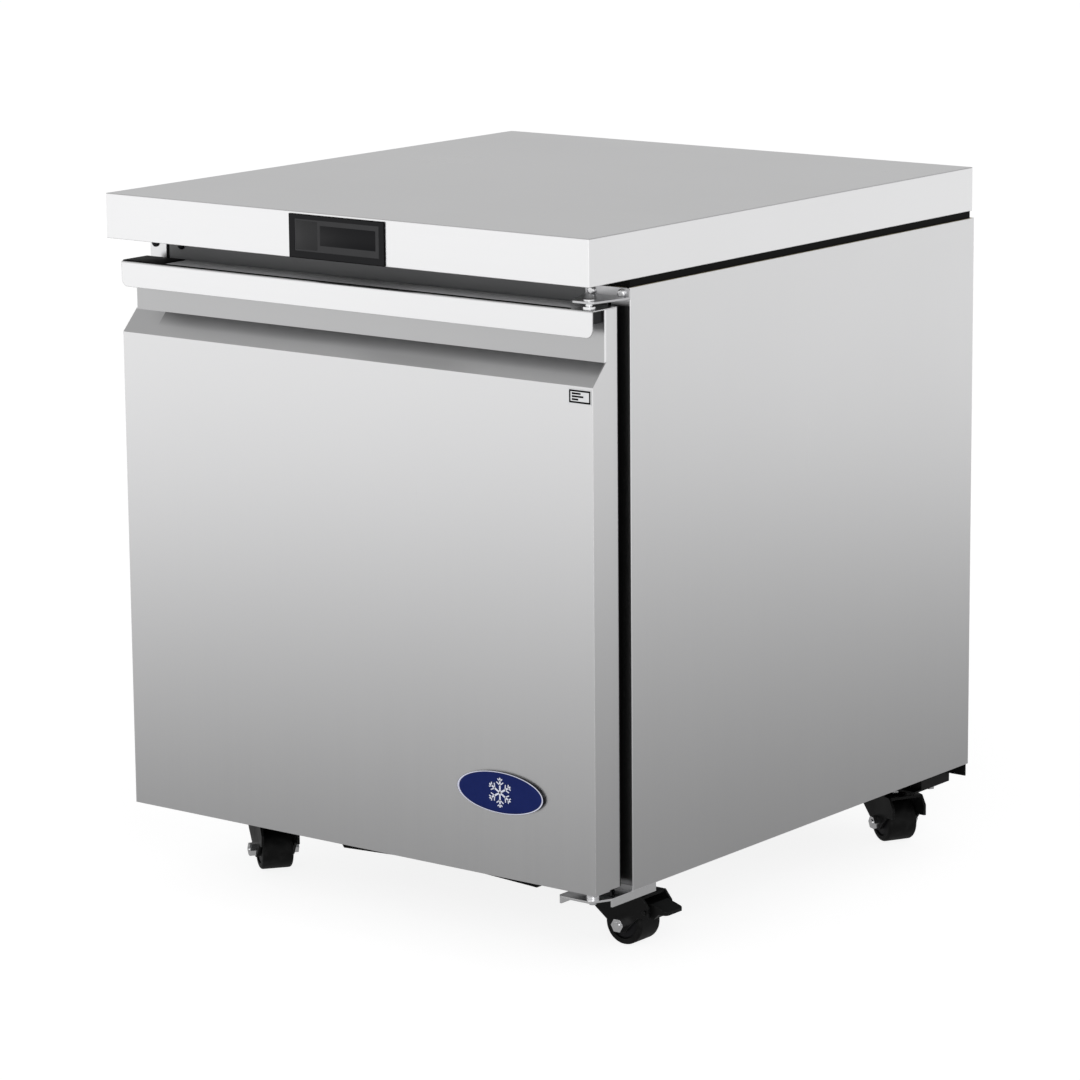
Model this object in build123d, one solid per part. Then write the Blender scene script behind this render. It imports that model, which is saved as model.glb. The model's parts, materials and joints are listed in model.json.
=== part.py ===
"""Single-door undercounter refrigerator on low swivel casters.

Millimetres. +Z is up, the door faces -Y, +X is the hinge side. The origin is at the centre of the
object's footprint, on the floor. Every sub-part is written to parts/NAME.step.
"""

import os

from build123d import *

# Overall size
overall_width = 698.5
overall_height = 826.0
worktop_depth = 760.0
worktop_thickness = 52.0
worktop_sheet = 1.2
bezel_proud = 1.5
cabinet_back_setback = 764.0

# Depths behind the worktop's front face
door_front_setback = 15.7
door_back_setback = 59.5
cabinet_face_setback = 73.5
pull_recess_setback = 39.0

# Heights above the floor
cabinet_bottom_z = 92.4
cabinet_top_z = 764.8
worktop_bottom_z = overall_height - worktop_thickness
door_bottom_z = 98.0
door_rear_bottom_z = 99.5
door_top_z = 746.0
pull_lip_bottom_z = 716.4
pull_slant_bottom_z = 663.0
pull_slant_top_z = 687.2

# Display in the worktop's front
bezel_half_width = 69.0
bezel_bottom_z = 774.0
bezel_top_z = 823.4
bezel_corner_radius = 3.2
housing_half_width = 65.9
housing_bottom_z = 778.1
housing_top_z = 821.9
housing_depth = 28.0
window_half_width = 61.0
window_bottom_z = 782.0
window_top_z = 818.0
window_seat = 2.5

# Cabinet
panel_sheet = 1.2
floor_sheet = 2.0
back_sheet = 1.0
stile_width = 25.5
rear_return = 20.0
apron_bottom_z = 77.0
breaker_half_width = 318.6
breaker_thickness = 4.0
breaker_lip = 16.0
opening_half_width = 298.0
opening_bottom_z = 134.0
opening_top_z = 716.0
liner_half_width = 300.0
liner_sheet = 1.0
liner_floor_z = 136.0
liner_ceiling_z = 714.0
wall_insulation = 45.0
machine_depth = 214.0
machine_ceiling_z = 300.0
grille_top_z = 330.0
spacer_inset = 2.5
spacer_band = 24.0

# Door
door_half_width = 341.6
door_sheet = 1.0
pull_sheet = 1.2
pull_corner_radius = 9.0
pull_fold_radius = 2.4
recess_fold_radius = 2.4
bottom_step_setback = 41.0
gasket_outer_x = 319.5
gasket_width = 20.0
gasket_bottom_z = 112.5
gasket_top_z = 736.5
liner_panel_sheet = 1.5
raised_half_width = 283.0
raised_bottom_z = 148.0
raised_top_z = 702.0
raised_depth = 12.2
running_gap = 0.3
fit_gap = 0.1

# Badge and label on the door
badge_x = 211.7
badge_z = 196.3
badge_width = 121.4
badge_height = 47.4
badge_rim = 1.5
badge_plate = 3.0
badge_depth = 3.6
label_x = 324.4
label_z = 652.0
label_width = 30.7
label_height = 16.3

# Hinge
hinge_x = 329.5
hinge_setback = 26.0
pin_radius = 4.0
bush_bore_radius = 4.05
bracket_sheet = 2.4
upper_bracket_left = 290.5
upper_bracket_front_setback = 18.0
upper_pin_low_z = 734.0
upper_pin_head_radius = 6.5
upper_pin_head = 2.0
upper_washer = 3.0
washer_radius = 7.3
lower_bracket_left = 292.0
lower_bracket_front_setback = 11.0
lower_bracket_back_setback = 116.6
lower_bracket_lip_z = 82.5
lower_pin_low_z = 85.0
lower_pin_top_z = 124.0
upper_arm_z = 752.8
upper_flange_top_z = 764.8
upper_bolt_xs = (299.7, 340.0)
upper_bolt_z = 758.6
lower_bolt_x = 318.5
lower_bolt_setbacks = (88.0, 108.0)
screw_head_radius = 5.2
screw_head = 3.6
lower_bush_top_z = 126.0
lower_bush_radius = 8.0

# Casters
wheel_radius = 25.0
wheel_width = 38.0
caster_height = 70.0
caster_trail = 17.0
yoke_crown_z = 58.0
swivel_pin_low_z = 54.4
front_caster_x = 263.0
rear_caster_x = 269.0
front_caster_setback = 167.0
rear_caster_setback = 707.0
yoke_leg = 3.0
yoke_half_width = 23.3
yoke_front_x = -25.0
yoke_back_x = 46.0
yoke_head_radius = 24.0
tyre_edge_radius = 3.5
hub_recess = 3.0
hub_outer_radius = 18.0
hub_inner_radius = 9.0
axle_nut_flats = 14.4
axle_nut = 8.0
axle_head = 5.5
channel_half_width = 330.0
front_channel_half_width = 298.0
channel_bolt_x = 322.0
channel_width = 62.0
channel_sheet = 2.0
channel_inner_x = 205.0
rear_channel_setback = 689.0
rear_flange_setback = 674.0
plate_sheet = 2.5
plate_half_length = 33.0
plate_half_width = 29.0
bolt_spacing_x = 46.0
bolt_spacing_y = 40.0
bolt_radius = 3.0
bolt_head = 4.0
bolt_flats = 10.0
braked = ("front_right", "rear_left")
pedal_reach = 76.0
pedal_half_width = 16.0
pedal_pivot_x = 50.0
pedal_pivot_z = 44.0
pedal_pin_radius = 2.5

# Shelves and evaporator
shelf_heights = (365.0, 545.0)
shelf_half_width = 288.0
shelf_rod_radius = 3.0
shelf_wire_radius = 1.6
shelf_wire_pitch = 24.0
shelf_front_y = -285.0
shelf_back_y = 240.0
shelf_wire_sink = 0.8
standard_ys = (-250.0, 90.0)
standard_depth = 3.5
standard_width = 14.0
standard_bottom_z = 150.0
standard_top_z = 700.0
standard_pitch = 25.0
standard_slots = 21
clip_reach = 12.0
clip_width = 12.0
clip_sheet = 1.5
clip_drop = 18.0
evaporator_z = 612.0
cover_half_width = 240.0
cover_front_y = 250.0
cover_bottom_z = 515.0
cover_top_z = 705.0
cover_wall = 1.5
cover_corner_radius = 8.0
fan_opening_radius = 62.0
evaporator_coil_half_width = 205.0
evaporator_coil_front_y = 298.0
evaporator_coil_bottom_z = 560.0
evaporator_coil_top_z = 690.0
evaporator_motor_front_y = 276.0
evaporator_motor_back_y = 294.0
grille_slot_columns = (-190.0, 0.0, 190.0)
grille_slot_rows = 12
grille_slot_length = 150.0
grille_slot_height = 5.0
grille_slot_pitch = 13.0
grille_slot_bottom_z = 150.0
condenser_fan_x = 180.0
condenser_fan_z = 198.0
condenser_left_x = 75.0
condenser_right_x = 285.0
condenser_front_y = 318.0
condenser_back_y = 352.0
condenser_bottom_z = 112.0
condenser_top_z = 284.0
condenser_motor_front_y = 240.0
condenser_motor_back_y = 284.0
compressor_x = -150.0
compressor_y = 275.0
compressor_radius = 60.0
compressor_top_z = 240.0
discharge_radius = 3.2
suction_radius = 4.0
suction_bend_z = 276.0
line_y = 343.0
drier_x = -20.0
drier_y = 340.0
control_left_x = -298.0
control_right_x = -236.0
control_front_y = 296.0
control_back_y = 368.0
control_top_z = 236.0
drain_hole_radius = 7.0
line_hole_radius = 8.0
pan_half_width = 218.0
pan_front_y = 296.0
pan_bottom_z = 540.0
pan_top_z = 552.0
foot_x = 66.0
foot_y = 44.0
foot_z = 108.0
foot_radius = 9.0
drain_x = 30.0
drain_outlet_y = 190.0
line_hole_x = -228.0
gland_x = -270.0
gland_z = 118.0
gland_radius = 9.8

# Condensate tray
tray_half_width = 148.0
tray_front_setback = 163.0
tray_length = 438.0
tray_bottom_z = 43.7
tray_raised_z = 46.7
tray_raised_half = 45.0
tray_slope_half = 140.0
tray_rim_z = 86.0
tray_wall = 2.0
tray_corner_radius = 8.0

# Places worked out from the sizes above
half_width = overall_width / 2
worktop_front_y = bezel_proud - (cabinet_back_setback + bezel_proud) / 2
worktop_back_y = worktop_front_y + worktop_depth
back_y = worktop_front_y + cabinet_back_setback
face_y = worktop_front_y + cabinet_face_setback
door_front_y = worktop_front_y + door_front_setback
door_back_y = worktop_front_y + door_back_setback
recess_y = worktop_front_y + pull_recess_setback
hinge_y = worktop_front_y + hinge_setback
inner_back_y = back_y - back_sheet
liner_back_y = inner_back_y - wall_insulation - liner_sheet
machine_front_y = inner_back_y - machine_depth
step_front_y = machine_front_y - wall_insulation
step_top_z = machine_ceiling_z + wall_insulation
foam_front_y = face_y + breaker_thickness
drain_y = liner_back_y - 11.0
line_hole_y = liner_back_y - 18.0


def block(x0, x1, y0, y1, z0, z1):
    """Axis-aligned block between two corners."""
    centre = Pos((x0 + x1) / 2, (y0 + y1) / 2, (z0 + z1) / 2)
    return centre * Box(x1 - x0, y1 - y0, z1 - z0)


def rod_x(x0, x1, y, z, radius):
    """Cylinder along X."""
    return Pos((x0 + x1) / 2, y, z) * Rot(0, 90, 0) * Cylinder(radius, x1 - x0)


def rod_y(x, y0, y1, z, radius):
    """Cylinder along Y."""
    return Pos(x, (y0 + y1) / 2, z) * Rot(90, 0, 0) * Cylinder(radius, y1 - y0)


def rod_z(x, y, z0, z1, radius):
    """Cylinder along Z."""
    return Pos(x, y, (z0 + z1) / 2) * Cylinder(radius, z1 - z0)


def hex_z(x, y, z0, z1, across_flats):
    """Hexagonal prism along Z."""
    outline = Pos(x, y, z0) * RegularPolygon(across_flats / 2, 6, major_radius=False)
    return extrude(outline, z1 - z0)


def polygon_prism(points, reach):
    """Flat polygon through 3-D points, extruded by the vector reach."""
    outline = Face(Wire.make_polygon([Vector(*point) for point in points]))
    return Solid.extrude(outline, Vector(*reach))


def prism_x(profile, x0, x1):
    """Profile of (y, z) points extruded along X."""
    return polygon_prism([(x0, y, z) for y, z in profile], (x1 - x0, 0, 0))


def prism_y(profile, y0, y1):
    """Profile of (x, z) points extruded along Y."""
    return polygon_prism([(x, y0, z) for x, z in profile], (0, y1 - y0, 0))


def prism_z(profile, z0, z1):
    """Profile of (x, y) points extruded along Z."""
    return polygon_prism([(x, y, z0) for x, y in profile], (0, 0, z1 - z0))


def tube_along(points, radius, bend, bore=0.0):
    """Round tube whose centre line is straight runs joined by arcs."""
    path = FilletPolyline(*points, radius=bend)
    start = Plane(origin=path @ 0, z_dir=path % 0)
    section = start * Circle(radius)
    if bore:
        section = section - start * Circle(bore)
    return sweep(section, path=path)


def fan_blades(x, y_front, z, hub_radius, tip_radius, chord, count, shaft_end_y):
    """Axial fan along Y: hub, pitched blades and a stub of shaft towards +Y."""
    thickness = 1.6
    hub_depth = 14.0
    overlap = 3.0
    span = tip_radius - hub_radius + overlap
    mid = hub_radius - overlap + span / 2
    fan = rod_y(0, y_front, y_front + hub_depth, 0, hub_radius)
    fan += rod_y(0, y_front + hub_depth, shaft_end_y, 0, 2.5)
    for index in range(count):
        blade = Pos(mid, 0, 0) * Rot(25, 0, 0) * Box(span, thickness, chord)
        fan += Pos(0, y_front + hub_depth / 2, 0) * Rot(0, 360 * index / count, 0) * blade
    return Pos(x, 0, z) * fan


def finned_coil(x0, x1, y0, y1, z0, z1, bends):
    """Fin block with half-round return bends at both ends."""
    coil = block(x0, x1, y0, y1, z0, z1)
    pitch = (z1 - z0) / bends
    bend_radius = pitch / 4
    mid_y = (y0 + y1) / 2
    for index in range(bends):
        centre_z = z0 + pitch * (index + 0.5)
        ring = Rot(90, 0, 0) * Torus(bend_radius, 4.0)
        coil += Pos(x0, mid_y, centre_z) * ring
        coil += Pos(x1, mid_y, centre_z) * ring
    return coil


# ---------------------------------------------------------------- worktop and display
def worktop():
    shell = block(-half_width, half_width, worktop_front_y, worktop_back_y, worktop_bottom_z, overall_height)
    shell = fillet(shell.edges().filter_by(Axis.Z), 2.0)
    shell = fillet(shell.faces().sort_by(Axis.Z)[-1].edges(), 1.0)
    inset = half_width - worktop_sheet
    hollow = block(
        -inset,
        inset,
        worktop_front_y + worktop_sheet,
        worktop_back_y - worktop_sheet,
        worktop_bottom_z - 1,
        overall_height - worktop_sheet,
    )
    cut_out = block(
        -housing_half_width - fit_gap,
        housing_half_width + fit_gap,
        worktop_front_y - 1,
        worktop_front_y + 5,
        housing_bottom_z - fit_gap,
        housing_top_z + fit_gap,
    )
    return shell - hollow - cut_out


def worktop_core():
    inset = half_width - worktop_sheet
    front = worktop_front_y + worktop_sheet
    top = overall_height - worktop_sheet
    board = block(-inset, inset, front, worktop_back_y - worktop_sheet, worktop_bottom_z, top)
    pocket = housing_half_width + 6.0
    return board - block(-pocket, pocket, front - 1, front + housing_depth + 4, worktop_bottom_z - 1, top + 1)


def worktop_spacer():
    """Band between the cabinet and the worktop, set back to leave a shadow line."""
    x = half_width - spacer_inset
    front = face_y + spacer_inset
    back = worktop_back_y - spacer_inset
    slab = block(-x, x, front, back, cabinet_top_z, worktop_bottom_z)
    inner_x = x - spacer_band
    below = cabinet_top_z - 1
    above = worktop_bottom_z + 1
    return slab - block(-inner_x, inner_x, front + spacer_band, back - spacer_band, below, above)


def display_bezel():
    """Frame on the worktop's front with a hollow housing behind it."""
    proud_y = worktop_front_y - bezel_proud
    housing_back_y = worktop_front_y + housing_depth
    ledge_y = worktop_front_y + window_seat
    wide = bezel_half_width
    narrow = window_half_width
    frame = block(-wide, wide, proud_y, worktop_front_y, bezel_bottom_z, bezel_top_z)
    frame = fillet(frame.edges().filter_by(Axis.Y), bezel_corner_radius)
    frame += block(
        -housing_half_width,
        housing_half_width,
        worktop_front_y,
        housing_back_y,
        housing_bottom_z,
        housing_top_z,
    )
    frame -= block(-narrow, narrow, proud_y - 1, ledge_y, window_bottom_z, window_top_z)
    ledge = 2.0
    return frame - block(
        -narrow + ledge,
        narrow - ledge,
        ledge_y,
        housing_back_y - ledge,
        window_bottom_z + ledge,
        window_top_z - ledge,
    )


def display_window():
    return block(
        -window_half_width,
        window_half_width,
        worktop_front_y - bezel_proud + 0.4,
        worktop_front_y + window_seat,
        window_bottom_z,
        window_top_z,
    )


# ---------------------------------------------------------------- cabinet shell
def side_panel(side):
    """Folded side sheet: front stile, flat side and rear return. side is -1 or +1."""
    outer = half_width
    inner = half_width - panel_sheet
    panel_back_y = back_y - back_sheet
    outline = [
        (side * (outer - stile_width), face_y),
        (side * outer, face_y),
        (side * outer, panel_back_y),
        (side * (outer - rear_return), panel_back_y),
        (side * (outer - rear_return), panel_back_y - panel_sheet),
        (side * inner, panel_back_y - panel_sheet),
        (side * inner, face_y + panel_sheet),
        (side * (outer - stile_width), face_y + panel_sheet),
    ]
    panel = prism_z(outline, cabinet_bottom_z, cabinet_top_z)
    corner = panel.edges().filter_by(Axis.Z).filter_by_position(Axis.Y, face_y - 0.1, face_y + 0.1)
    corner = corner.sort_by(Axis.X)[-1 if side > 0 else 0]
    return fillet(corner, 1.0)


def back_panel():
    return block(-half_width + 1, half_width - 1, back_y - back_sheet, back_y, grille_top_z, cabinet_top_z)


def bottom_panel():
    inner = half_width - panel_sheet
    top_z = cabinet_bottom_z + panel_sheet
    return block(-inner, inner, face_y + panel_sheet, machine_front_y, cabinet_bottom_z, top_z)


def breaker_frame():
    """Header, sill and two jambs around the door opening, each with a lip into the liner's mouth."""
    plate_back = face_y + breaker_thickness
    lip_back = plate_back + breaker_lip
    half = breaker_half_width
    throat = opening_half_width
    sill_z = cabinet_bottom_z + floor_sheet
    header = block(-half, half, face_y, plate_back, opening_top_z, cabinet_top_z)
    header += block(-throat, throat, plate_back, lip_back, opening_top_z - 4, liner_ceiling_z)
    header += block(-throat, throat, face_y, plate_back, opening_top_z - 4, opening_top_z)
    sill = block(-half, half, face_y, plate_back, sill_z, opening_bottom_z)
    sill += block(-throat, throat, plate_back, lip_back, liner_floor_z, opening_bottom_z + 4)
    sill += block(-throat, throat, face_y, plate_back, opening_bottom_z, opening_bottom_z + 4)
    strips = [header, sill]
    for side in (-1, 1):
        low, high = sorted((side * throat, side * half))
        jamb = block(low, high, face_y, plate_back, opening_bottom_z, opening_top_z)
        low, high = sorted((side * throat, side * liner_half_width))
        jamb += block(low, high, plate_back, lip_back, liner_floor_z, liner_ceiling_z)
        strips.append(jamb)
    return strips


def service_holes(z0, z1):
    """Drain and refrigerant line holes through whatever stands between the cold side and the machine."""
    drain = rod_z(drain_x, drain_y, z0, z1, drain_hole_radius)
    return drain + rod_z(line_hole_x, line_hole_y, z0, z1, line_hole_radius)


def foam_insulation():
    """Convex slabs of foam: two sides, roof, floor, step front, step top and rear wall."""
    liner_x = liner_half_width + liner_sheet
    panel_x = half_width - panel_sheet
    foam_bottom_z = cabinet_bottom_z + floor_sheet
    rear_z = cabinet_top_z
    floor_top_z = liner_floor_z - liner_sheet
    roof_z = liner_ceiling_z + liner_sheet
    rear_front_y = inner_back_y - wall_insulation
    side_back_y = inner_back_y - panel_sheet
    slabs = [
        block(-panel_x, -liner_x, foam_front_y, side_back_y, foam_bottom_z, rear_z),
        block(liner_x, panel_x, foam_front_y, side_back_y, foam_bottom_z, rear_z),
        block(-liner_x, liner_x, foam_front_y, inner_back_y, roof_z, rear_z),
        block(-liner_x, liner_x, foam_front_y, machine_front_y, foam_bottom_z, floor_top_z),
        block(-liner_x, liner_x, step_front_y, machine_front_y, floor_top_z, machine_ceiling_z),
        block(-liner_x, liner_x, step_front_y, rear_front_y, machine_ceiling_z, step_top_z),
        block(-liner_x, liner_x, rear_front_y, inner_back_y, machine_ceiling_z, roof_z),
    ]
    slabs[5] -= service_holes(machine_ceiling_z - 1, step_top_z + 1)
    return slabs


def inner_liner():
    """Thin tub with a step over the machine compartment, open at the front."""
    sheet = liner_sheet
    outer = [
        (foam_front_y, liner_floor_z - sheet),
        (step_front_y, liner_floor_z - sheet),
        (step_front_y, step_top_z),
        (liner_back_y + sheet, step_top_z),
        (liner_back_y + sheet, liner_ceiling_z + sheet),
        (foam_front_y, liner_ceiling_z + sheet),
    ]
    inner = [
        (foam_front_y - 1, liner_floor_z),
        (step_front_y - sheet, liner_floor_z),
        (step_front_y - sheet, step_top_z + sheet),
        (liner_back_y, step_top_z + sheet),
        (liner_back_y, liner_ceiling_z),
        (foam_front_y - 1, liner_ceiling_z),
    ]
    tub = prism_x(outer, -liner_half_width - sheet, liner_half_width + sheet)
    tub -= prism_x(inner, -liner_half_width, liner_half_width)
    return tub - service_holes(step_top_z - 1, step_top_z + 2)


def rear_grille():
    """Flat louvred cover over the machine compartment."""
    half = half_width - 1
    grille = block(-half, half, back_y - back_sheet, back_y, cabinet_bottom_z + floor_sheet, grille_top_z)
    reach = grille_slot_length / 2
    for column in grille_slot_columns:
        for row in range(grille_slot_rows):
            z = grille_slot_bottom_z + grille_slot_pitch * row
            grille -= block(
                column - reach, column + reach, back_y - 5, back_y + 5, z, z + grille_slot_height
            )
    return grille - rod_y(gland_x, back_y - 5, back_y + 5, gland_z, gland_radius)


def compressor_base():
    inner = half_width - panel_sheet
    top_z = cabinet_bottom_z + floor_sheet
    rear_y = inner_back_y - panel_sheet
    plate = block(-inner, inner, machine_front_y, rear_y, cabinet_bottom_z, top_z)
    plate -= rod_z(drain_x, drain_outlet_y, cabinet_bottom_z - 1, top_z + 1, drain_hole_radius)
    apron = block(-inner + 1, inner - 1, rear_y - floor_sheet, rear_y, apron_bottom_z, cabinet_bottom_z)
    return plate + apron


# ---------------------------------------------------------------- cold side
def shelf_supports():
    """Slotted upright strips on the side walls, and the shelf clips hooked into them."""
    half = standard_width / 2
    inner_x = liner_half_width - standard_depth
    strip = block(inner_x, liner_half_width, -half, half, standard_bottom_z, standard_top_z)
    for row in range(standard_slots):
        z = standard_bottom_z + 15.0 + standard_pitch * row
        strip -= block(inner_x - 1, liner_half_width + 1, -3, 3, z, z + 9)
    strips = []
    for y in standard_ys:
        right = Pos(0, y, 0) * strip
        strips += [right, mirror(right, about=Plane.YZ)]
    return strips + shelf_clips()


def shelf_clips():
    """Hooks under the shelves' side rods."""
    clips = []
    outer_x = liner_half_width - standard_depth
    half = clip_width / 2
    for height in shelf_heights:
        seat_z = height - shelf_rod_radius - running_gap
        for y in standard_ys:
            hook = block(outer_x - clip_reach, outer_x, y - half, y + half, seat_z - 5, seat_z)
            hook += block(outer_x - clip_sheet, outer_x, y - half, y + half, seat_z - clip_drop, seat_z)
            clips += [hook, mirror(hook, about=Plane.YZ)]
    return clips


def wire_shelf(height):
    """Rod frame with front-to-back wires welded on top."""
    rod = shelf_rod_radius
    half = shelf_half_width
    rods = [
        rod_x(-half, half, shelf_front_y, height, rod),
        rod_x(-half, half, shelf_back_y, height, rod),
        rod_x(-half, half, (shelf_front_y + shelf_back_y) / 2, height, rod),
        rod_y(-half, shelf_front_y, shelf_back_y, height, rod),
        rod_y(half, shelf_front_y, shelf_back_y, height, rod),
    ]
    for x in (-half, half):
        for y in (shelf_front_y, shelf_back_y):
            rods.append(Pos(x, y, height) * Sphere(rod))
    wire_z = height + rod + shelf_wire_radius - shelf_wire_sink
    count = int(2 * (half - 10) // shelf_wire_pitch)
    first = -shelf_wire_pitch * (count - 1) / 2
    for index in range(count):
        x = first + shelf_wire_pitch * index
        rods.append(rod_y(x, shelf_front_y - 2, shelf_back_y + 2, wire_z, shelf_wire_radius))
    return rods[0].fuse(*rods[1:])


def evaporator_cover():
    """Fan cover at the top of the rear wall, open at the back."""
    front_y, wall, half = cover_front_y, cover_wall, cover_half_width
    z0, z1 = cover_bottom_z, cover_top_z
    cover = block(-half, half, front_y, liner_back_y, z0, z1)
    cover = fillet(cover.faces().sort_by(Axis.Y)[0].edges(), cover_corner_radius)
    inside = block(-half + wall, half - wall, front_y + wall, liner_back_y + 1, z0 + wall, z1 - wall)
    cover -= fillet(inside.faces().sort_by(Axis.Y)[0].edges(), cover_corner_radius - wall)
    cover -= rod_y(0, front_y - 1, front_y + 5, evaporator_z, fan_opening_radius)
    for side in (-1, 1):
        for row in range(7):
            z = z0 + 45.0 + 16.0 * row
            low, high = sorted((side * 110.0, side * 200.0))
            cover -= block(low, high, front_y - 1, front_y + 5, z, z + 5)
    return cover - service_holes(z0 - 1, z0 + 5)


def evaporator_coil():
    half = evaporator_coil_half_width
    z0, z1 = evaporator_coil_bottom_z, evaporator_coil_top_z
    return finned_coil(-half, half, evaporator_coil_front_y, liner_back_y - 3, z0, z1, 4)


def evaporator_fan_motor():
    """Motor can on a strap whose feet stand on the cover's inside."""
    back = evaporator_motor_back_y
    motor = rod_y(0, evaporator_motor_front_y, back, evaporator_z, 28.0)
    z0, z1 = evaporator_z - 10, evaporator_z + 10
    reach, sheet = 78.0, 3.0
    strap = block(-reach, reach, back - 2, back + 1, z0, z1)
    for side in (-1, 1):
        low, high = sorted((side * (reach - sheet), side * reach))
        strap += block(low, high, cover_front_y + cover_wall, back + 1, z0, z1)
    return motor + strap


def evaporator_fan():
    front_y = cover_front_y + 6.5
    return fan_blades(0, front_y, evaporator_z, 16.0, 57.0, 26.0, 5, evaporator_motor_front_y - running_gap)


def drain_pan():
    """Pan under the coil, and the drain tube down to the condensate tray."""
    z0, z1 = pan_bottom_z, pan_top_z
    half, front, back, wall = pan_half_width, pan_front_y, liner_back_y - 1, 1.5
    pan = block(-half, half, front, back, z0, z1)
    pan -= block(-half + wall, half - wall, front + wall, back - wall, z0 + wall, z1 + 1)
    pan -= rod_z(drain_x, drain_y, z0 - 1, z0 + 3, 5.0)
    route = [
        (drain_x, drain_y, z0),
        (drain_x, drain_y, 190),
        (drain_x, drain_outlet_y, 130),
        (drain_x, drain_outlet_y, tray_rim_z + 2.5),
    ]
    return [pan, tube_along(route, 6.5, 16, 5.0)]


# ---------------------------------------------------------------- machine compartment
def compressor():
    """Hermetic can on a footed base, with the terminal cover on its side."""
    x, y, radius = compressor_x, compressor_y, compressor_radius
    can = rod_z(x, y, foot_z + 4, compressor_top_z, radius)
    can = fillet(can.faces().sort_by(Axis.Z)[-1].edges(), 38.0)
    can = fillet(can.faces().sort_by(Axis.Z)[0].edges(), 14.0)
    seam_z = 172.0
    seam = rod_z(x, y, seam_z - 4, seam_z + 4, radius + 2)
    reach_x, reach_y = foot_x + 12.0, foot_y + 12.0
    base = block(x - reach_x, x + reach_x, y - reach_y, y + reach_y, foot_z, foot_z + 5)
    base = fillet(base.edges().filter_by(Axis.Z), 12.0)
    terminal = block(x + radius - 6, x + radius + 24, y - 24, y + 24, 130, 190)
    return can + seam + base + terminal


def compressor_mounts():
    mounts = []
    for dx in (-foot_x, foot_x):
        for dy in (-foot_y, foot_y):
            x, y = compressor_x + dx, compressor_y + dy
            mounts.append(rod_z(x, y, cabinet_bottom_z + floor_sheet, foot_z, foot_radius))
    return mounts


def condenser_coil():
    z0, z1 = condenser_bottom_z, condenser_top_z
    return finned_coil(condenser_left_x, condenser_right_x, condenser_front_y, condenser_back_y, z0, z1, 5)


def condenser_fan_motor():
    """Motor can on a post with a foot."""
    x = condenser_fan_x
    front, back = condenser_motor_front_y, condenser_motor_back_y
    base_z = cabinet_bottom_z + floor_sheet
    motor = rod_y(x, front, back, condenser_fan_z, 30.0)
    post = block(x - 12, x + 12, front + 8, back - 16, base_z, condenser_fan_z)
    foot = block(x - 35, x + 35, front, back - 8, base_z, base_z + 3)
    return motor + post + foot


def condenser_fan():
    """Axial fan with a blind hub in front of the coil."""
    front = condenser_motor_back_y + 6.0
    back = condenser_front_y - 8.0
    fan = fan_blades(condenser_fan_x, front, condenser_fan_z, 20.0, 78.0, 32.0, 5, back)
    return fan - rod_y(condenser_fan_x, front + 14, back + 10, condenser_fan_z, 6.0)


def refrigerant_lines():
    """Discharge line, suction line and the filter drier at the condenser's outlet."""
    x, y = compressor_x, compressor_y
    shoulder_z = compressor_top_z - 10
    discharge_z = 268.0
    inlet_z = 122.0
    drier_low_z, drier_high_z = 135.0, 225.0
    discharge_route = [
        (x + 30, y, shoulder_z),
        (x + 30, y, discharge_z),
        (x + 30, line_y, discharge_z),
        (condenser_left_x, line_y, discharge_z),
    ]
    suction_route = [
        (x - 30, y, shoulder_z),
        (x - 30, y, suction_bend_z),
        (line_hole_x, line_hole_y, suction_bend_z + 8),
        (line_hole_x, line_hole_y, evaporator_z - 12),
        (-evaporator_coil_half_width, line_hole_y, evaporator_z),
    ]
    liquid_route = [
        (drier_x, drier_y, drier_low_z + 1),
        (drier_x, drier_y, inlet_z),
        (condenser_left_x, drier_y, inlet_z),
    ]
    discharge = tube_along(discharge_route, discharge_radius, 14)
    suction = tube_along(suction_route, suction_radius, 9)
    drier = rod_z(drier_x, drier_y, drier_low_z, drier_high_z, 11.0)
    drier = fillet(drier.edges().filter_by(GeomType.CIRCLE), 8.0)
    drier += rod_z(drier_x, drier_y, drier_high_z, drier_high_z + 20, discharge_radius)
    drier += tube_along(liquid_route, discharge_radius, 10)
    return [discharge, suction, drier]


def control_box():
    """Thermostat and terminal box with its front lid."""
    left, right, front, back = control_left_x, control_right_x, control_front_y, control_back_y
    base_z = cabinet_bottom_z + floor_sheet
    box = block(left, right, front, back, base_z, control_top_z)
    box = fillet(box.edges().filter_by(Axis.Z), 3.0)
    lid = block(left + 2, right - 2, front - 4, front, base_z + 4, control_top_z - 4)
    return box + lid


def cord_gland():
    """Bush through the grille with its lock nut inside."""
    bush = rod_y(gland_x, control_back_y, back_y, gland_z, gland_radius)
    nut = rod_y(gland_x, control_back_y + 4, back_y - back_sheet, gland_z, gland_radius + 4.2)
    return bush + nut


# ---------------------------------------------------------------- base, brackets and fasteners
def channel(x0, x1, y0, y1, flange_y):
    """Folded channel, open at the top; its bottom reaches forward to flange_y under the plates."""
    wall = channel_sheet
    low = caster_height
    body = block(x0, x1, y0, y1, low, cabinet_bottom_z)
    body -= block(x0 + wall, x1 - wall, y0 + wall, y1 - wall, low + wall, cabinet_bottom_z + 1)
    if flange_y < y0:
        body += block(x0, x1, flange_y, y0, low, low + wall)
    return body


def caster_channels():
    """Channels that carry the casters: two short ones in front and a full one behind."""
    front_y = worktop_front_y + front_caster_setback - channel_width / 2
    rear_y = worktop_front_y + rear_channel_setback
    flange_y = worktop_front_y + rear_flange_setback
    reach = channel_half_width
    front_reach = front_channel_half_width
    return [
        channel(-front_reach, -channel_inner_x, front_y, front_y + channel_width, front_y),
        channel(channel_inner_x, front_reach, front_y, front_y + channel_width, front_y),
        channel(-reach, reach, rear_y, rear_y + channel_width, flange_y),
    ]


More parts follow.
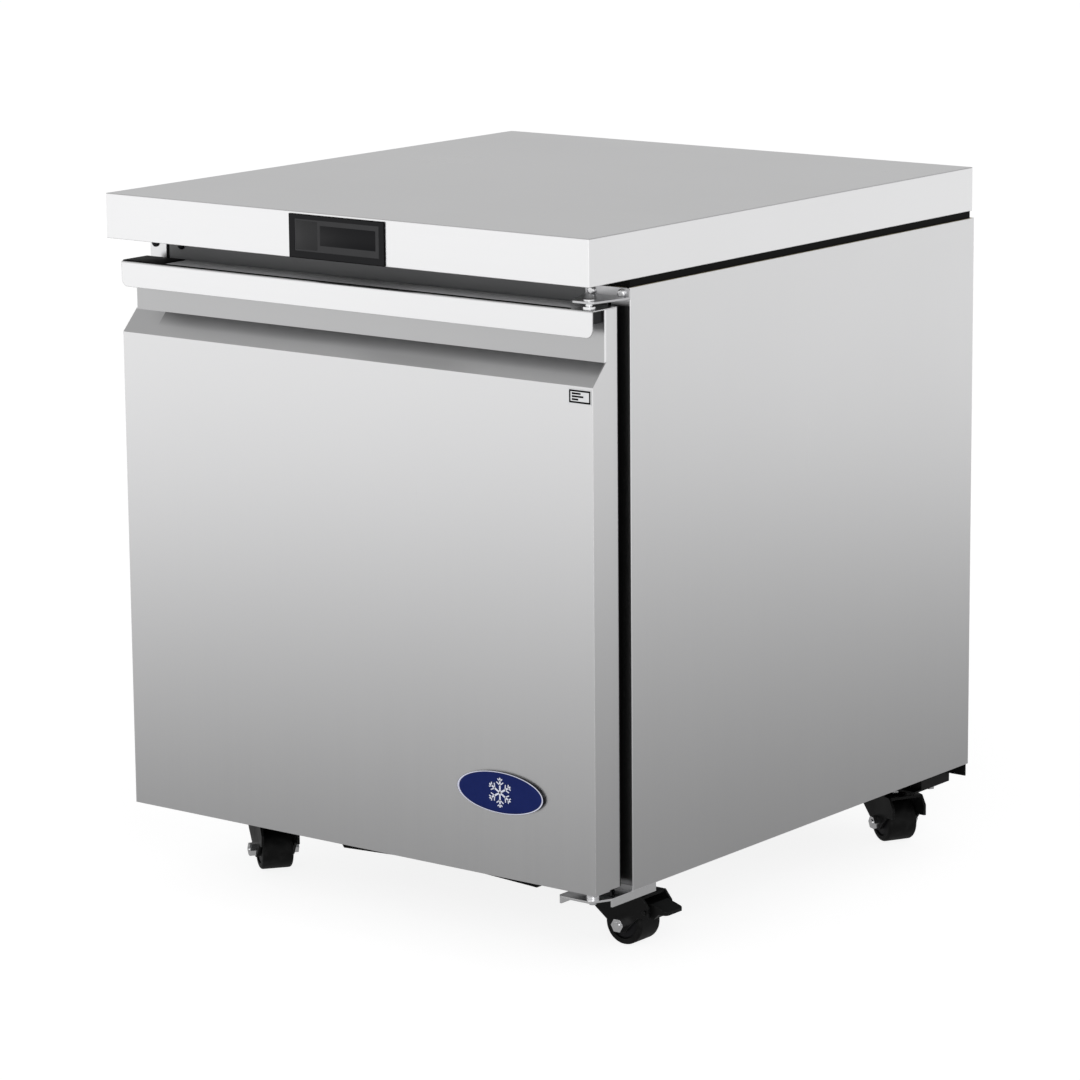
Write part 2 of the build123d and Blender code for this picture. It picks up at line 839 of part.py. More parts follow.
def caster_places():
    """Name, swivel axis and rest direction of each caster, in degrees from +X."""
    front_y = worktop_front_y + front_caster_setback
    rear_y = worktop_front_y + rear_caster_setback
    return (
        ("front_left", -front_caster_x, front_y, -37.0),
        ("front_right", front_caster_x, front_y, 0.0),
        ("rear_left", -rear_caster_x, rear_y, 155.0),
        ("rear_right", rear_caster_x, rear_y, -28.0),
    )


def caster_plates():
    """Mounting plates under the channels, each with its riveted swivel pin."""
    plates = []
    low = caster_height - plate_sheet
    for _, x, y, _ in caster_places():
        x0, x1 = x - plate_half_length, x + plate_half_length
        plate = block(x0, x1, y - plate_half_width, y + plate_half_width, low, caster_height)
        plate = fillet(plate.edges().filter_by(Axis.Z), 6.0)
        plate += rod_z(x, y, swivel_pin_low_z, low, 5.0)
        plate += rod_z(x, y, swivel_pin_low_z, yoke_crown_z - running_gap, 9.0)
        plates.append(plate)
    return plates


def bolt_up(x, y, seat_z):
    """Hexagon-head bolt pushed up from below, its head under seat_z."""
    head = hex_z(x, y, seat_z - bolt_head, seat_z, bolt_flats)
    return head + rod_z(x, y, seat_z, seat_z + 12, bolt_radius)


def m6_bolts():
    """Caster plate and channel bolts, the upper bracket's screws and the lower bracket's bolts."""
    bolts = []
    for _, x, y, _ in caster_places():
        for dx in (-bolt_spacing_x / 2, bolt_spacing_x / 2):
            for dy in (-bolt_spacing_y / 2, bolt_spacing_y / 2):
                bolts.append(bolt_up(x + dx, y + dy, caster_height - plate_sheet))
    rear_channel_y = worktop_front_y + rear_channel_setback + channel_width / 2
    for x in (-channel_bolt_x, channel_bolt_x):
        bolts.append(bolt_up(x, rear_channel_y, caster_height))
    seat_y = face_y - bracket_sheet
    for x in upper_bolt_xs:
        head = rod_y(x, seat_y - screw_head, seat_y, upper_bolt_z, screw_head_radius)
        head = fillet(head.faces().sort_by(Axis.Y)[0].edges(), 2.6)
        bolts.append(head + rod_y(x, seat_y, seat_y + 16, upper_bolt_z, bolt_radius))
    for setback in lower_bolt_setbacks:
        bolts.append(bolt_up(lower_bolt_x, worktop_front_y + setback, cabinet_bottom_z - bracket_sheet))
    return bolts


def hinge_bracket_top():
    """Upright flange on the cabinet's face with an arm over the door."""
    left = upper_bracket_left
    right = half_width
    front = worktop_front_y + upper_bracket_front_setback
    flange = block(left, right, face_y - bracket_sheet, face_y, upper_arm_z, upper_flange_top_z)
    top_corners = flange.edges().filter_by(Axis.Y)
    top_corners = top_corners.filter_by_position(Axis.Z, upper_flange_top_z - 1, upper_flange_top_z + 1)
    flange = fillet(top_corners, 3.0)
    outline = [
        (left, face_y),
        (left + 15.5, front + 16.0),
        (left + 18.0, front + 5.0),
        (left + 23.0, front),
        (right - 15.0, front),
        (right - 9.5, front + 3.5),
        (right, front + 48.0),
        (right, face_y),
    ]
    arm = prism_z(outline, upper_arm_z, upper_arm_z + bracket_sheet)
    bracket = flange + arm - rod_z(hinge_x, hinge_y, upper_arm_z - 1, upper_arm_z + 5, pin_radius)
    for x in upper_bolt_xs:
        bracket -= rod_y(x, face_y - 5, face_y + 1, upper_bolt_z, bolt_radius)
    return bracket


def hinge_bracket_bottom():
    """Plate under the cabinet, reaching forward under the door, with turned-down edges."""
    left = lower_bracket_left
    right = half_width
    front = worktop_front_y + lower_bracket_front_setback
    back = worktop_front_y + lower_bracket_back_setback
    top = cabinet_bottom_z
    low = top - bracket_sheet
    lip_front = front + 24.6
    outline = [
        (left, back),
        (left, front + 4.0),
        (left + 4.0, front),
        (right - 14.0, front),
        (right - 11.0, front + 2.5),
        (right, lip_front),
        (right, back),
    ]
    bracket = prism_z(outline, low, top)
    bracket += block(right - bracket_sheet, right, lip_front, back, lower_bracket_lip_z, low)
    bracket += block(left, left + bracket_sheet, front + 4.0, back, lower_bracket_lip_z, low)
    bracket -= rod_z(hinge_x, hinge_y, low - 1, top + 1, pin_radius)
    for setback in lower_bolt_setbacks:
        bracket -= rod_z(lower_bolt_x, worktop_front_y + setback, low - 1, top + 1, bolt_radius)
    return bracket


def hinge_pins():
    """Upper pin with its head and washer, and lower pin with the collar that carries the door."""
    arm_top_z = upper_arm_z + bracket_sheet
    washer_z = door_top_z + running_gap
    upper = rod_z(hinge_x, hinge_y, upper_pin_low_z, arm_top_z, pin_radius)
    upper += rod_z(hinge_x, hinge_y, arm_top_z, arm_top_z + upper_pin_head, upper_pin_head_radius)
    upper += rod_z(hinge_x, hinge_y, washer_z, washer_z + upper_washer, washer_radius)
    lower = rod_z(hinge_x, hinge_y, lower_pin_low_z, lower_pin_top_z, pin_radius)
    lower += rod_z(hinge_x, hinge_y, cabinet_bottom_z, door_bottom_z - running_gap, washer_radius)
    return [upper, lower]


def tray_rails():
    """L-shaped rails under the cabinet floor; the tray's rim slides on their ledges."""
    web_x = tray_half_width + 10.0
    ledge_x = tray_half_width + 2.5
    outer_x = web_x + 2.0
    front = worktop_front_y + tray_front_setback + 22
    back = front + 400.0
    ledge_z = tray_rim_z - 4.5
    rails = []
    for side in (-1, 1):
        low, high = sorted((side * web_x, side * outer_x))
        rail = block(low, high, front, back, ledge_z, cabinet_bottom_z)
        low, high = sorted((side * ledge_x, side * outer_x))
        rail += block(low, high, front, back, ledge_z, ledge_z + 2)
        rails.append(rail)
    return rails


# ---------------------------------------------------------------- door
def door_outline():
    """Side profile of the door as (y, z): flat front, slanted recess, upright recess wall."""
    step_y = worktop_front_y + bottom_step_setback
    return [
        (door_front_y, door_bottom_z),
        (door_front_y, pull_slant_bottom_z),
        (recess_y, pull_slant_top_z),
        (recess_y, door_top_z - pull_sheet),
        (door_back_y, door_top_z - pull_sheet),
        (door_back_y, door_rear_bottom_z),
        (step_y, door_rear_bottom_z),
        (step_y, door_bottom_z),
    ]


def foam_outline():
    """The same profile one sheet inside the skin."""
    sheet = door_sheet
    slant = (pull_slant_top_z - pull_slant_bottom_z) / (recess_y - door_front_y)
    shift = sheet * ((1 + slant * slant) ** 0.5 - slant)
    return [
        (door_front_y + sheet, door_rear_bottom_z + sheet),
        (door_front_y + sheet, pull_slant_bottom_z - shift),
        (recess_y + sheet, pull_slant_top_z - shift),
        (recess_y + sheet, door_top_z - pull_sheet - sheet),
        (door_back_y, door_top_z - pull_sheet - sheet),
        (door_back_y, door_rear_bottom_z + sheet),
    ]


def door_skin():
    """Folded door shell, its recess with rounded folds at both ends."""
    half = door_half_width
    skin = prism_x(door_outline(), -half, half)
    ends = skin.edges().filter_by(Axis.Z).filter_by_position(Axis.Y, recess_y - 0.1, recess_y + 0.1)
    skin = fillet(ends, recess_fold_radius)
    inner = prism_x(foam_outline(), -half + door_sheet, half - door_sheet)
    bush_hole = rod_z(hinge_x, hinge_y, door_bottom_z - 1, door_rear_bottom_z + 3, lower_bush_radius)
    return skin - inner - bush_hole


def door_foam():
    """Foam core: main slab, wedge behind the slant, upper strip and the filling of the raised liner."""
    half = door_half_width - door_sheet
    core = prism_x(foam_outline(), -half, half)
    core -= rod_z(hinge_x, hinge_y, door_bottom_z, lower_bush_top_z, lower_bush_radius)
    wedge_z = foam_outline()[1][1]
    strip_z = foam_outline()[2][1]
    bands = [(door_bottom_z, wedge_z), (wedge_z, strip_z), (strip_z, door_top_z)]
    slabs = [core & block(-half, half, door_front_y, door_back_y, z0, z1) for z0, z1 in bands]
    return slabs + [raised_panel(liner_panel_sheet)]


def door_pull():
    """Folded cap along the door's top edge; its front flange hangs down as the pull."""
    half = door_half_width
    cap_z = door_top_z - pull_sheet
    cap = block(-half, half, door_front_y, door_back_y, cap_z, door_top_z)
    lip = block(-half, half, door_front_y, door_front_y + pull_sheet, pull_lip_bottom_z, door_top_z)
    near = 1.0
    low_corners = lip.edges().filter_by(Axis.Y)
    low_corners = low_corners.filter_by_position(Axis.Z, pull_lip_bottom_z - near, pull_lip_bottom_z + near)
    lip = fillet(low_corners, pull_corner_radius)
    pull = cap + lip
    fold = pull.edges().filter_by(Axis.X).filter_by_position(Axis.Z, door_top_z - 0.1, door_top_z + 0.1)
    pull = fillet(fold.sort_by(Axis.Y)[0], pull_fold_radius)
    return pull - rod_z(hinge_x, hinge_y, cap_z - 1, door_top_z + 1, pin_radius + 1)


def raised_panel(inset):
    """Raised centre of the door's inner panel, or its filling, one inset smaller."""
    half = raised_half_width - inset
    back = door_back_y + raised_depth - inset
    raised = block(-half, half, door_back_y, back, raised_bottom_z + inset, raised_top_z - inset)
    raised = fillet(raised.edges().filter_by(Axis.Y), 20.0 - inset)
    return chamfer(raised.faces().sort_by(Axis.Y)[-1].edges(), 6.0)


def door_liner():
    """Formed inner door panel, flush with the door's edges, with a raised centre inside the gasket."""
    half = door_half_width
    back = door_back_y + liner_panel_sheet
    panel = block(-half, half, door_back_y, back, door_rear_bottom_z, door_top_z)
    return panel + raised_panel(0.0) - raised_panel(liner_panel_sheet)


def gasket_profile():
    """Half-open bellows section as (offset across the seal, depth): foot, neck and magnet head."""
    front = door_back_y + liner_panel_sheet
    tip = face_y - running_gap
    width = gasket_width
    return [
        (0, front),
        (width, front),
        (width, front + 2.2),
        (width - 5.5, front + 3.2),
        (width - 5.5, tip - 5.6),
        (width, tip - 4.8),
        (width, tip),
        (0, tip),
        (0, tip - 4.8),
        (5.5, tip - 5.6),
        (5.5, front + 3.2),
        (0, front + 2.2),
    ]


def door_gasket():
    bars = []
    inner_x = gasket_outer_x - gasket_width
    for side in (-1, 1):
        outline = [(side * (inner_x + across), y) for across, y in gasket_profile()]
        bars.append(prism_z(outline, gasket_bottom_z, gasket_top_z))
    for z0 in (gasket_bottom_z, gasket_top_z - gasket_width):
        outline = [(y, z0 + across) for across, y in gasket_profile()]
        bars.append(prism_x(outline, -inner_x, inner_x))
    return bars


def hinge_bushes():
    """Nylon bearing block behind the pull, and the lower bush with the self-closing cartridge."""
    top = door_top_z - pull_sheet
    block_front = door_front_y + pull_sheet + 0.6
    upper = block(hinge_x - 11.5, hinge_x + 8.0, block_front, recess_y, top - 14, top)
    upper = fillet(upper.edges().filter_by(Axis.Z), 2.0)
    upper -= rod_z(hinge_x, hinge_y, top - 20, top + 1, bush_bore_radius)
    lower = rod_z(hinge_x, hinge_y, door_bottom_z, lower_bush_top_z, lower_bush_radius)
    lower -= rod_z(hinge_x, hinge_y, door_bottom_z - 1, lower_pin_top_z + 0.5, bush_bore_radius)
    return [upper, lower]


def door_badge():
    """Oval plate with a raised rim."""
    face = Plane.XZ.offset(-door_front_y) * Pos(badge_x, badge_z)
    outer = Ellipse(badge_width / 2, badge_height / 2)
    inner = Ellipse(badge_width / 2 - badge_rim, badge_height / 2 - badge_rim)
    return extrude(face * outer, badge_plate) + extrude(face * (outer - inner), badge_depth)


def door_label():
    x0, x1 = label_x - label_width / 2, label_x + label_width / 2
    z0, z1 = label_z - label_height / 2, label_z + label_height / 2
    return block(x0, x1, door_front_y - 0.5, door_front_y, z0, z1)


# ---------------------------------------------------------------- casters and tray
def place_caster(shape, x, y, angle):
    return Pos(x, y, 0) * Rot(0, 0, angle) * shape


def yoke(with_pedal):
    """Swivel head over two tapering legs; the wheel trails along +X."""
    top_z = caster_height - plate_sheet - running_gap
    crown_z = yoke_crown_z
    half = yoke_half_width
    low_x, high_x = yoke_front_x, yoke_back_x
    head = rod_z(0, 0, crown_z, top_z, yoke_head_radius)
    head = chamfer(head.faces().sort_by(Axis.Z)[-1].edges(), 3.0)
    head += block(low_x, high_x, -half, half, crown_z, crown_z + yoke_leg)
    outline = [
        (low_x, crown_z + yoke_leg),
        (high_x, crown_z + yoke_leg),
        (high_x + 9.0, pedal_pivot_z + 6.0),
        (high_x + 9.0, pedal_pivot_z - 7.0),
        (high_x - 6.0, pedal_pivot_z - 9.0),
        (caster_trail + 9.0, 20.6),
        (caster_trail - 8.0, 19.0),
        (low_x + 6.0, 40.0),
        (low_x, 46.0),
    ]
    for side in (-1, 1):
        low, high = sorted((side * (half - yoke_leg), side * half))
        leg = prism_y(outline, low, high) + rod_y(caster_trail, low, high, wheel_radius, 10.0)
        head += leg
    head -= rod_z(0, 0, crown_z - 1, caster_height, 5.05)
    head -= rod_y(caster_trail, -30, 30, wheel_radius, pin_radius)
    if with_pedal:
        head -= rod_y(pedal_pivot_x, -30, 30, pedal_pivot_z, pedal_pin_radius + 0.05)
    return head


def wheel():
    """Wide tyre on a hub, with a shallow ring recess in each face."""
    half = wheel_width / 2
    tread = rod_y(caster_trail, -half, half, wheel_radius, wheel_radius)
    tread = fillet(tread.edges().filter_by(GeomType.CIRCLE), tyre_edge_radius)
    for side in (-1, 1):
        low, high = sorted((side * (half - hub_recess), side * (half + 1)))
        ring = rod_y(caster_trail, low, high, wheel_radius, hub_outer_radius)
        tread -= ring - rod_y(caster_trail, low, high, wheel_radius, hub_inner_radius)
    return tread - rod_y(caster_trail, -half - 1, half + 1, wheel_radius, bush_bore_radius)


def axle():
    """Axle bolt with its head on one side and a lock nut on the other."""
    half = yoke_half_width
    bolt = rod_y(caster_trail, -half - axle_nut - 1, half, wheel_radius, pin_radius)
    for start, end in ((half, half + axle_head), (-half - axle_nut, -half)):
        face = Plane.XZ.offset(-start) * Pos(caster_trail, wheel_radius)
        outline = RegularPolygon(axle_nut_flats / 2, 6, major_radius=False)
        bolt += extrude(face * outline, amount=-(end - start))
    return bolt


def brake_pedal():
    """Foot pedal with a down-turned tip, turning on a cross pin through the yoke's legs."""
    inner_x = pedal_pivot_x - 8.0
    top_z = pedal_pivot_z + 9.0
    side = [
        (inner_x, top_z - 1.0),
        (pedal_pivot_x + 4.0, top_z),
        (pedal_reach, pedal_pivot_z + 2.0),
        (pedal_reach, pedal_pivot_z - 1.4),
        (pedal_pivot_x + 14.0, pedal_pivot_z - 2.0),
        (pedal_pivot_x + 8.0, pedal_pivot_z - 8.0),
        (pedal_pivot_x + 1.0, pedal_pivot_z - 8.0),
        (inner_x, pedal_pivot_z - 2.0),
    ]
    pedal = prism_y(side, -pedal_half_width, pedal_half_width)
    corners = pedal.edges().filter_by(Axis.Z).filter_by_position(Axis.X, pedal_reach - 1, pedal_reach + 1)
    pedal = fillet(corners, 5.0)
    pin_half = yoke_half_width + 2.2
    return pedal + rod_y(pedal_pivot_x, -pin_half, pin_half, pedal_pivot_z, pedal_pin_radius)


def condensate_tray():
    """Shallow drawer tray with rounded corners, a raised underside and a rim that hangs on the rails."""
    front = worktop_front_y + tray_front_setback
    half = tray_half_width
    body = block(-half, half, front, front + tray_length, tray_bottom_z, tray_rim_z)
    body = fillet(body.edges().filter_by(Axis.Z), tray_corner_radius)
    inner_half = half - tray_wall
    hollow = block(
        -inner_half,
        inner_half,
        front + tray_wall,
        front + tray_length - tray_wall,
        tray_raised_z + tray_wall,
        tray_rim_z + 1,
    )
    hollow = fillet(hollow.edges().filter_by(Axis.Z), tray_corner_radius - tray_wall)
    relief = [
        (-tray_slope_half, tray_bottom_z),
        (-tray_raised_half, tray_raised_z),
        (tray_raised_half, tray_raised_z),
        (tray_slope_half, tray_bottom_z),
    ]
    tray = body - hollow - prism_y(relief, front - 1, front + tray_length + 1)
    for side in (-1, 1):
        low, high = sorted((side * (half - 1), side * (half + 8)))
        tray += block(low, high, front + 24, front + tray_length - 24, tray_rim_z - 2.2, tray_rim_z)
    return tray


def build_all():
    nodes = {
        "worktop": worktop(),
        "worktop_core": worktop_core(),
        "worktop_spacer": worktop_spacer(),
        "display_bezel": display_bezel(),
        "display_window": display_window(),
        "side_panel_left": side_panel(-1),
        "side_panel_right": side_panel(1),
        "back_panel": back_panel(),
        "bottom_panel": bottom_panel(),
        "breaker_frame": breaker_frame(),
        "foam_insulation": foam_insulation(),
        "inner_liner": inner_liner(),
        "rear_grille": rear_grille(),
        "compressor_base": compressor_base(),
        "shelf_supports": shelf_supports(),
        "shelf_lower": wire_shelf(shelf_heights[0]),
        "shelf_upper": wire_shelf(shelf_heights[1]),
        "evaporator_cover": evaporator_cover(),
        "evaporator_coil": evaporator_coil(),
        "evaporator_fan_motor": evaporator_fan_motor(),
        "evaporator_fan": evaporator_fan(),
        "drain_pan": drain_pan(),
        "compressor": compressor(),
        "compressor_mounts": compressor_mounts(),
        "condenser_coil": condenser_coil(),
        "condenser_fan_motor": condenser_fan_motor(),
        "condenser_fan": condenser_fan(),
        "refrigerant_lines": refrigerant_lines(),
        "control_box": control_box(),
        "cord_gland": cord_gland(),
        "caster_channels": caster_channels(),
        "caster_plates": caster_plates(),
        "m6_bolts": m6_bolts(),
        "hinge_bracket_top": hinge_bracket_top(),
        "hinge_bracket_bottom": hinge_bracket_bottom(),
        "hinge_pins": hinge_pins(),
        "tray_rails": tray_rails(),
        "condensate_tray": condensate_tray(),
        "door_skin": door_skin(),
        "door_foam": door_foam(),
        "door_pull": door_pull(),
        "door_liner": door_liner(),
        "door_gasket": door_gasket(),
        "hinge_bushes": hinge_bushes(),
        "door_badge": door_badge(),
        "door_label": door_label(),
    }
    for name, x, y, angle in caster_places():
        nodes[f"yoke_{name}"] = place_caster(yoke(name in braked), x, y, angle)
        nodes[f"wheel_{name}"] = place_caster(wheel(), x, y, angle)
        nodes[f"axle_{name}"] = place_caster(axle(), x, y, angle)
        if name in braked:
            nodes[f"brake_pedal_{name}"] = place_caster(brake_pedal(), x, y, angle)
    return nodes


def save(name, shape):
    """Write one node: all its solids, and nothing else, in one STEP file."""
    pieces = shape if isinstance(shape, list) else [shape]
    solids = [solid for piece in pieces for solid in piece.solids()]
    export_step(solids[0] if len(solids) == 1 else Compound(children=solids), f"parts/{name}.step")


os.makedirs("parts", exist_ok=True)
for node_name, node_shape in build_all().items():
    save(node_name, node_shape)
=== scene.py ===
import json
import math

import bmesh
import bpy
from mathutils import Matrix, Vector

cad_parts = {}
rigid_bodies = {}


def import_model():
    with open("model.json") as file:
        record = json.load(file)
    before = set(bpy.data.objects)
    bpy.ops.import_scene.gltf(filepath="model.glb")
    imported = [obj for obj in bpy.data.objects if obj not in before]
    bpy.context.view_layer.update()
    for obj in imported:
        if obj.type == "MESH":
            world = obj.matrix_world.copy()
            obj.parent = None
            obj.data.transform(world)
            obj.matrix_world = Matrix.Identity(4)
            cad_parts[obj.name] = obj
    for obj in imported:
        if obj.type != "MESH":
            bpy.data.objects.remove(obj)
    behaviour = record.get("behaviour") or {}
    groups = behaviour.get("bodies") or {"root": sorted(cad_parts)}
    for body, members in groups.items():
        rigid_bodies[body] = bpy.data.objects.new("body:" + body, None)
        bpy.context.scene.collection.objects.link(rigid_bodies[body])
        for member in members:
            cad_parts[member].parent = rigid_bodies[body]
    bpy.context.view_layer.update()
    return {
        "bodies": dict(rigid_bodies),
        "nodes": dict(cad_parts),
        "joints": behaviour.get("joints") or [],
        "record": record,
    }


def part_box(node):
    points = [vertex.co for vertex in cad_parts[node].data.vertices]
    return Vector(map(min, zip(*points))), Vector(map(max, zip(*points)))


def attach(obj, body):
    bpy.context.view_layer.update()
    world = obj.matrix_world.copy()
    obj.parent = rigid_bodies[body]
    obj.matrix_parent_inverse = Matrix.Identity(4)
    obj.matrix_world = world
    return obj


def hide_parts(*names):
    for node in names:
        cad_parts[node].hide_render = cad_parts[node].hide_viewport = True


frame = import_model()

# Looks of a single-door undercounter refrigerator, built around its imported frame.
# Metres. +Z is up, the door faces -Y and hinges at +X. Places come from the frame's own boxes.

MM = 0.001
ALONG_X, ALONG_Y = Vector((1, 0, 0)), Vector((0, 1, 0))
caster_names = [body[len("caster_"):] for body in frame["bodies"] if body.startswith("caster_")]
joints = {joint["name"]: joint for joint in frame["joints"]}


# ---------------------------------------------------------------- node helpers
class Shader:
    """A node material around one Principled shader."""

    def __init__(self, name, colour, metallic=0.0, roughness=0.5, **constants):
        self.material = bpy.data.materials.new(name)
        self.material.use_nodes = True
        self.material.diffuse_color = (*colour, 1.0)
        self.tree = self.material.node_tree
        self.shader = self.tree.nodes["Principled BSDF"]
        self.shader.inputs["Base Color"].default_value = (*colour, 1.0)
        self.shader.inputs["Metallic"].default_value = metallic
        self.shader.inputs["Roughness"].default_value = roughness
        for socket, value in constants.items():
            self.shader.inputs[socket.replace("_", " ")].default_value = value

    def node(self, kind, **settings):
        made = self.tree.nodes.new(kind)
        for key, value in settings.items():
            setattr(made, key, value)
        return made

    def link(self, source, target):
        self.tree.links.new(source, target)

    def coords(self, stretch=(1.0, 1.0, 1.0)):
        """Row-frame coordinates in metres, stretched along each axis."""
        place = self.node("ShaderNodeTexCoord")
        mapping = self.node("ShaderNodeMapping")
        mapping.inputs["Scale"].default_value = stretch
        self.link(place.outputs["Object"], mapping.inputs["Vector"])
        return mapping.outputs["Vector"]

    def noise(self, scale, detail=3.0, stretch=(1.0, 1.0, 1.0), seed=0.0):
        texture = self.node("ShaderNodeTexNoise", noise_dimensions="4D")
        texture.inputs["Scale"].default_value = scale
        texture.inputs["Detail"].default_value = detail
        texture.inputs["W"].default_value = seed
        self.link(self.coords(stretch), texture.inputs["Vector"])
        return texture.outputs["Fac"]

    def cells(self, scale, feature="F1"):
        texture = self.node("ShaderNodeTexVoronoi", feature=feature)
        texture.inputs["Scale"].default_value = scale
        self.link(self.coords(), texture.inputs["Vector"])
        return texture

    def ranged(self, value, from_low, from_high, to_low, to_high):
        span = self.node("ShaderNodeMapRange")
        limits = (from_low, from_high, to_low, to_high)
        for socket, limit in zip(("From Min", "From Max", "To Min", "To Max"), limits):
            span.inputs[socket].default_value = limit
        self.link(value, span.inputs["Value"])
        return span.outputs["Result"]

    def maths(self, operation, *values):
        made = self.node("ShaderNodeMath", operation=operation)
        for socket, value in zip(made.inputs, values):
            if isinstance(value, (int, float)):
                socket.default_value = value
            else:
                self.link(value, socket)
        return made.outputs["Value"]

    def mixed(self, share, first, second):
        """Blend of two colours or colour outputs by share."""
        made = self.node("ShaderNodeMix", data_type="RGBA")
        self.link(share, made.inputs["Factor"])
        for socket, value in ((made.inputs[6], first), (made.inputs[7], second)):
            if isinstance(value, (tuple, list)):
                socket.default_value = (*value, 1.0)
            else:
                self.link(value, socket)
        return made.outputs[2]

    def edges(self, radius):
        """1 on sharp edges, 0 on flat faces."""
        rounded = self.node("ShaderNodeBevel", samples=4)
        rounded.inputs["Radius"].default_value = radius
        flat = self.node("ShaderNodeNewGeometry")
        compare = self.node("ShaderNodeVectorMath", operation="DOT_PRODUCT")
        self.link(rounded.outputs["Normal"], compare.inputs[0])
        self.link(flat.outputs["Normal"], compare.inputs[1])
        return self.ranged(compare.outputs["Value"], 0.995, 0.85, 0.0, 1.0)

    def to_colour(self, output):
        self.link(output, self.shader.inputs["Base Color"])

    def to_roughness(self, output):
        self.link(output, self.shader.inputs["Roughness"])

    def to_bump(self, height, strength, distance, rounding=0.0):
        bump = self.node("ShaderNodeBump")
        bump.inputs["Strength"].default_value = strength
        bump.inputs["Distance"].default_value = distance
        self.link(height, bump.inputs["Height"])
        if rounding:
            rounded = self.node("ShaderNodeBevel", samples=4)
            rounded.inputs["Radius"].default_value = rounding
            self.link(rounded.outputs["Normal"], bump.inputs["Normal"])
        self.link(bump.outputs["Normal"], self.shader.inputs["Normal"])


def shade(colour, factor):
    return tuple(min(1.0, channel * factor) for channel in colour)


def inside(made, low, high):
    """1 inside a box of the object's own coordinates, 0 outside it."""
    split = made.node("ShaderNodeSeparateXYZ")
    made.link(made.coords(), split.inputs[0])
    shares = []
    for axis, start, end in zip("XYZ", low, high):
        shares.append(made.maths("GREATER_THAN", split.outputs[axis], start))
        shares.append(made.maths("LESS_THAN", split.outputs[axis], end))
    total = shares[0]
    for share in shares[1:]:
        total = made.maths("MULTIPLY", total, share)
    return total


# ---------------------------------------------------------------- materials
def brushed(name, colour, roughness, grain, edge_highlight_shade_factor, painted_shade=None):
    """Brushed sheet: fine streaks along grain, faint haze, folds painted lighter as a highlight above an
    edge factor of 1 and darker as shade below it, and painted shade where told.
    """
    made = Shader(name, colour, metallic=1.0, roughness=roughness)
    across, along = 900.0, 3.0
    stretch = tuple(along if axis else across for axis in grain)
    streaks = made.noise(1.0, detail=5.0, stretch=stretch)
    haze = made.noise(3.0, detail=3.0, seed=4.0)
    fine = made.ranged(streaks, 0.3, 0.7, roughness - 0.02, roughness + 0.02)
    cloud = made.ranged(haze, 0.3, 0.7, -0.01, 0.01)
    made.to_roughness(made.maths("ADD", fine, cloud))
    sheet = made.mixed(streaks, shade(colour, 0.985), shade(colour, 1.015))
    # Painted highlight on edges where the edge factor is above 1, painted shade on edges where it is
    # below 1.
    sheet = made.mixed(made.edges(1.1 * MM), sheet, shade(colour, edge_highlight_shade_factor))
    # Painted shade: the given share darkens the sheet towards black.
    if painted_shade:
        sheet = made.mixed(painted_shade(made), sheet, (0.0, 0.0, 0.0))
    made.to_colour(sheet)
    made.to_bump(streaks, 0.04, 0.05 * MM, rounding=0.7 * MM)
    return made.material


def galvanised():
    """Zinc-coated sheet with pale crystal spangle."""
    colour = (0.50, 0.52, 0.53)
    made = Shader("galvanised_sheet", colour, metallic=1.0, roughness=0.42)
    spangle = made.cells(90.0)
    made.to_colour(made.mixed(spangle.outputs["Color"], shade(colour, 0.86), shade(colour, 1.12)))
    made.to_roughness(made.ranged(spangle.outputs["Distance"], 0.0, 0.9, 0.36, 0.50))
    made.to_bump(made.noise(400.0, detail=2.0), 0.05, 0.1 * MM, rounding=0.5 * MM)
    return made.material


def plated(name, colour, roughness):
    """Zinc or chrome plate with slightly uneven shine."""
    made = Shader(name, colour, metallic=1.0, roughness=roughness)
    wear = made.noise(160.0, detail=3.0)
    made.to_roughness(made.ranged(wear, 0.3, 0.7, roughness - 0.04, roughness + 0.05))
    made.to_colour(made.mixed(wear, shade(colour, 0.95), shade(colour, 1.03)))
    made.to_bump(wear, 0.02, 0.05 * MM, rounding=0.5 * MM)
    return made.material


def black_paint():
    """Powder coat with orange peel, rubbed grey along its edges."""
    colour = (0.004, 0.004, 0.004)
    made = Shader("black_powder_coat", colour, roughness=0.42, Specular_IOR_Level=0.15)
    patches = made.noise(260.0, detail=3.0, seed=2.0)
    rubbed = made.maths("MULTIPLY", made.edges(0.8 * MM), made.ranged(patches, 0.42, 0.62, 0.0, 0.6))
    made.to_colour(made.mixed(rubbed, colour, (0.07, 0.07, 0.075)))
    made.to_roughness(made.ranged(made.noise(40.0), 0.3, 0.7, 0.34, 0.5))
    made.to_bump(made.noise(900.0, detail=1.0), 0.12, 0.08 * MM, rounding=0.6 * MM)
    return made.material


def moulded(name, colour, roughness, grain=1400.0, strength=0.1, **constants):
    """Moulded plastic with a fine spark-eroded grain and slight colour drift."""
    made = Shader(name, colour, roughness=roughness, **constants)
    drift = made.noise(9.0, detail=2.0, seed=7.0)
    made.to_colour(made.mixed(drift, shade(colour, 0.93), shade(colour, 1.06)))
    texture = made.noise(grain, detail=2.0)
    made.to_roughness(made.ranged(texture, 0.3, 0.7, roughness - 0.05, roughness + 0.05))
    made.to_bump(texture, strength, 0.08 * MM, rounding=0.6 * MM)
    return made.material


def display_glass():
    """Smoked window with faint smears, over an unlit display."""
    made = Shader("smoked_window", (0.020, 0.020, 0.021), roughness=0.12, Specular_IOR_Level=0.25)
    smear = made.noise(60.0, detail=4.0)
    made.to_colour(made.mixed(smear, (0.014, 0.014, 0.015), (0.022, 0.022, 0.024)))
    made.to_roughness(made.ranged(smear, 0.35, 0.7, 0.08, 0.2))
    return made.material


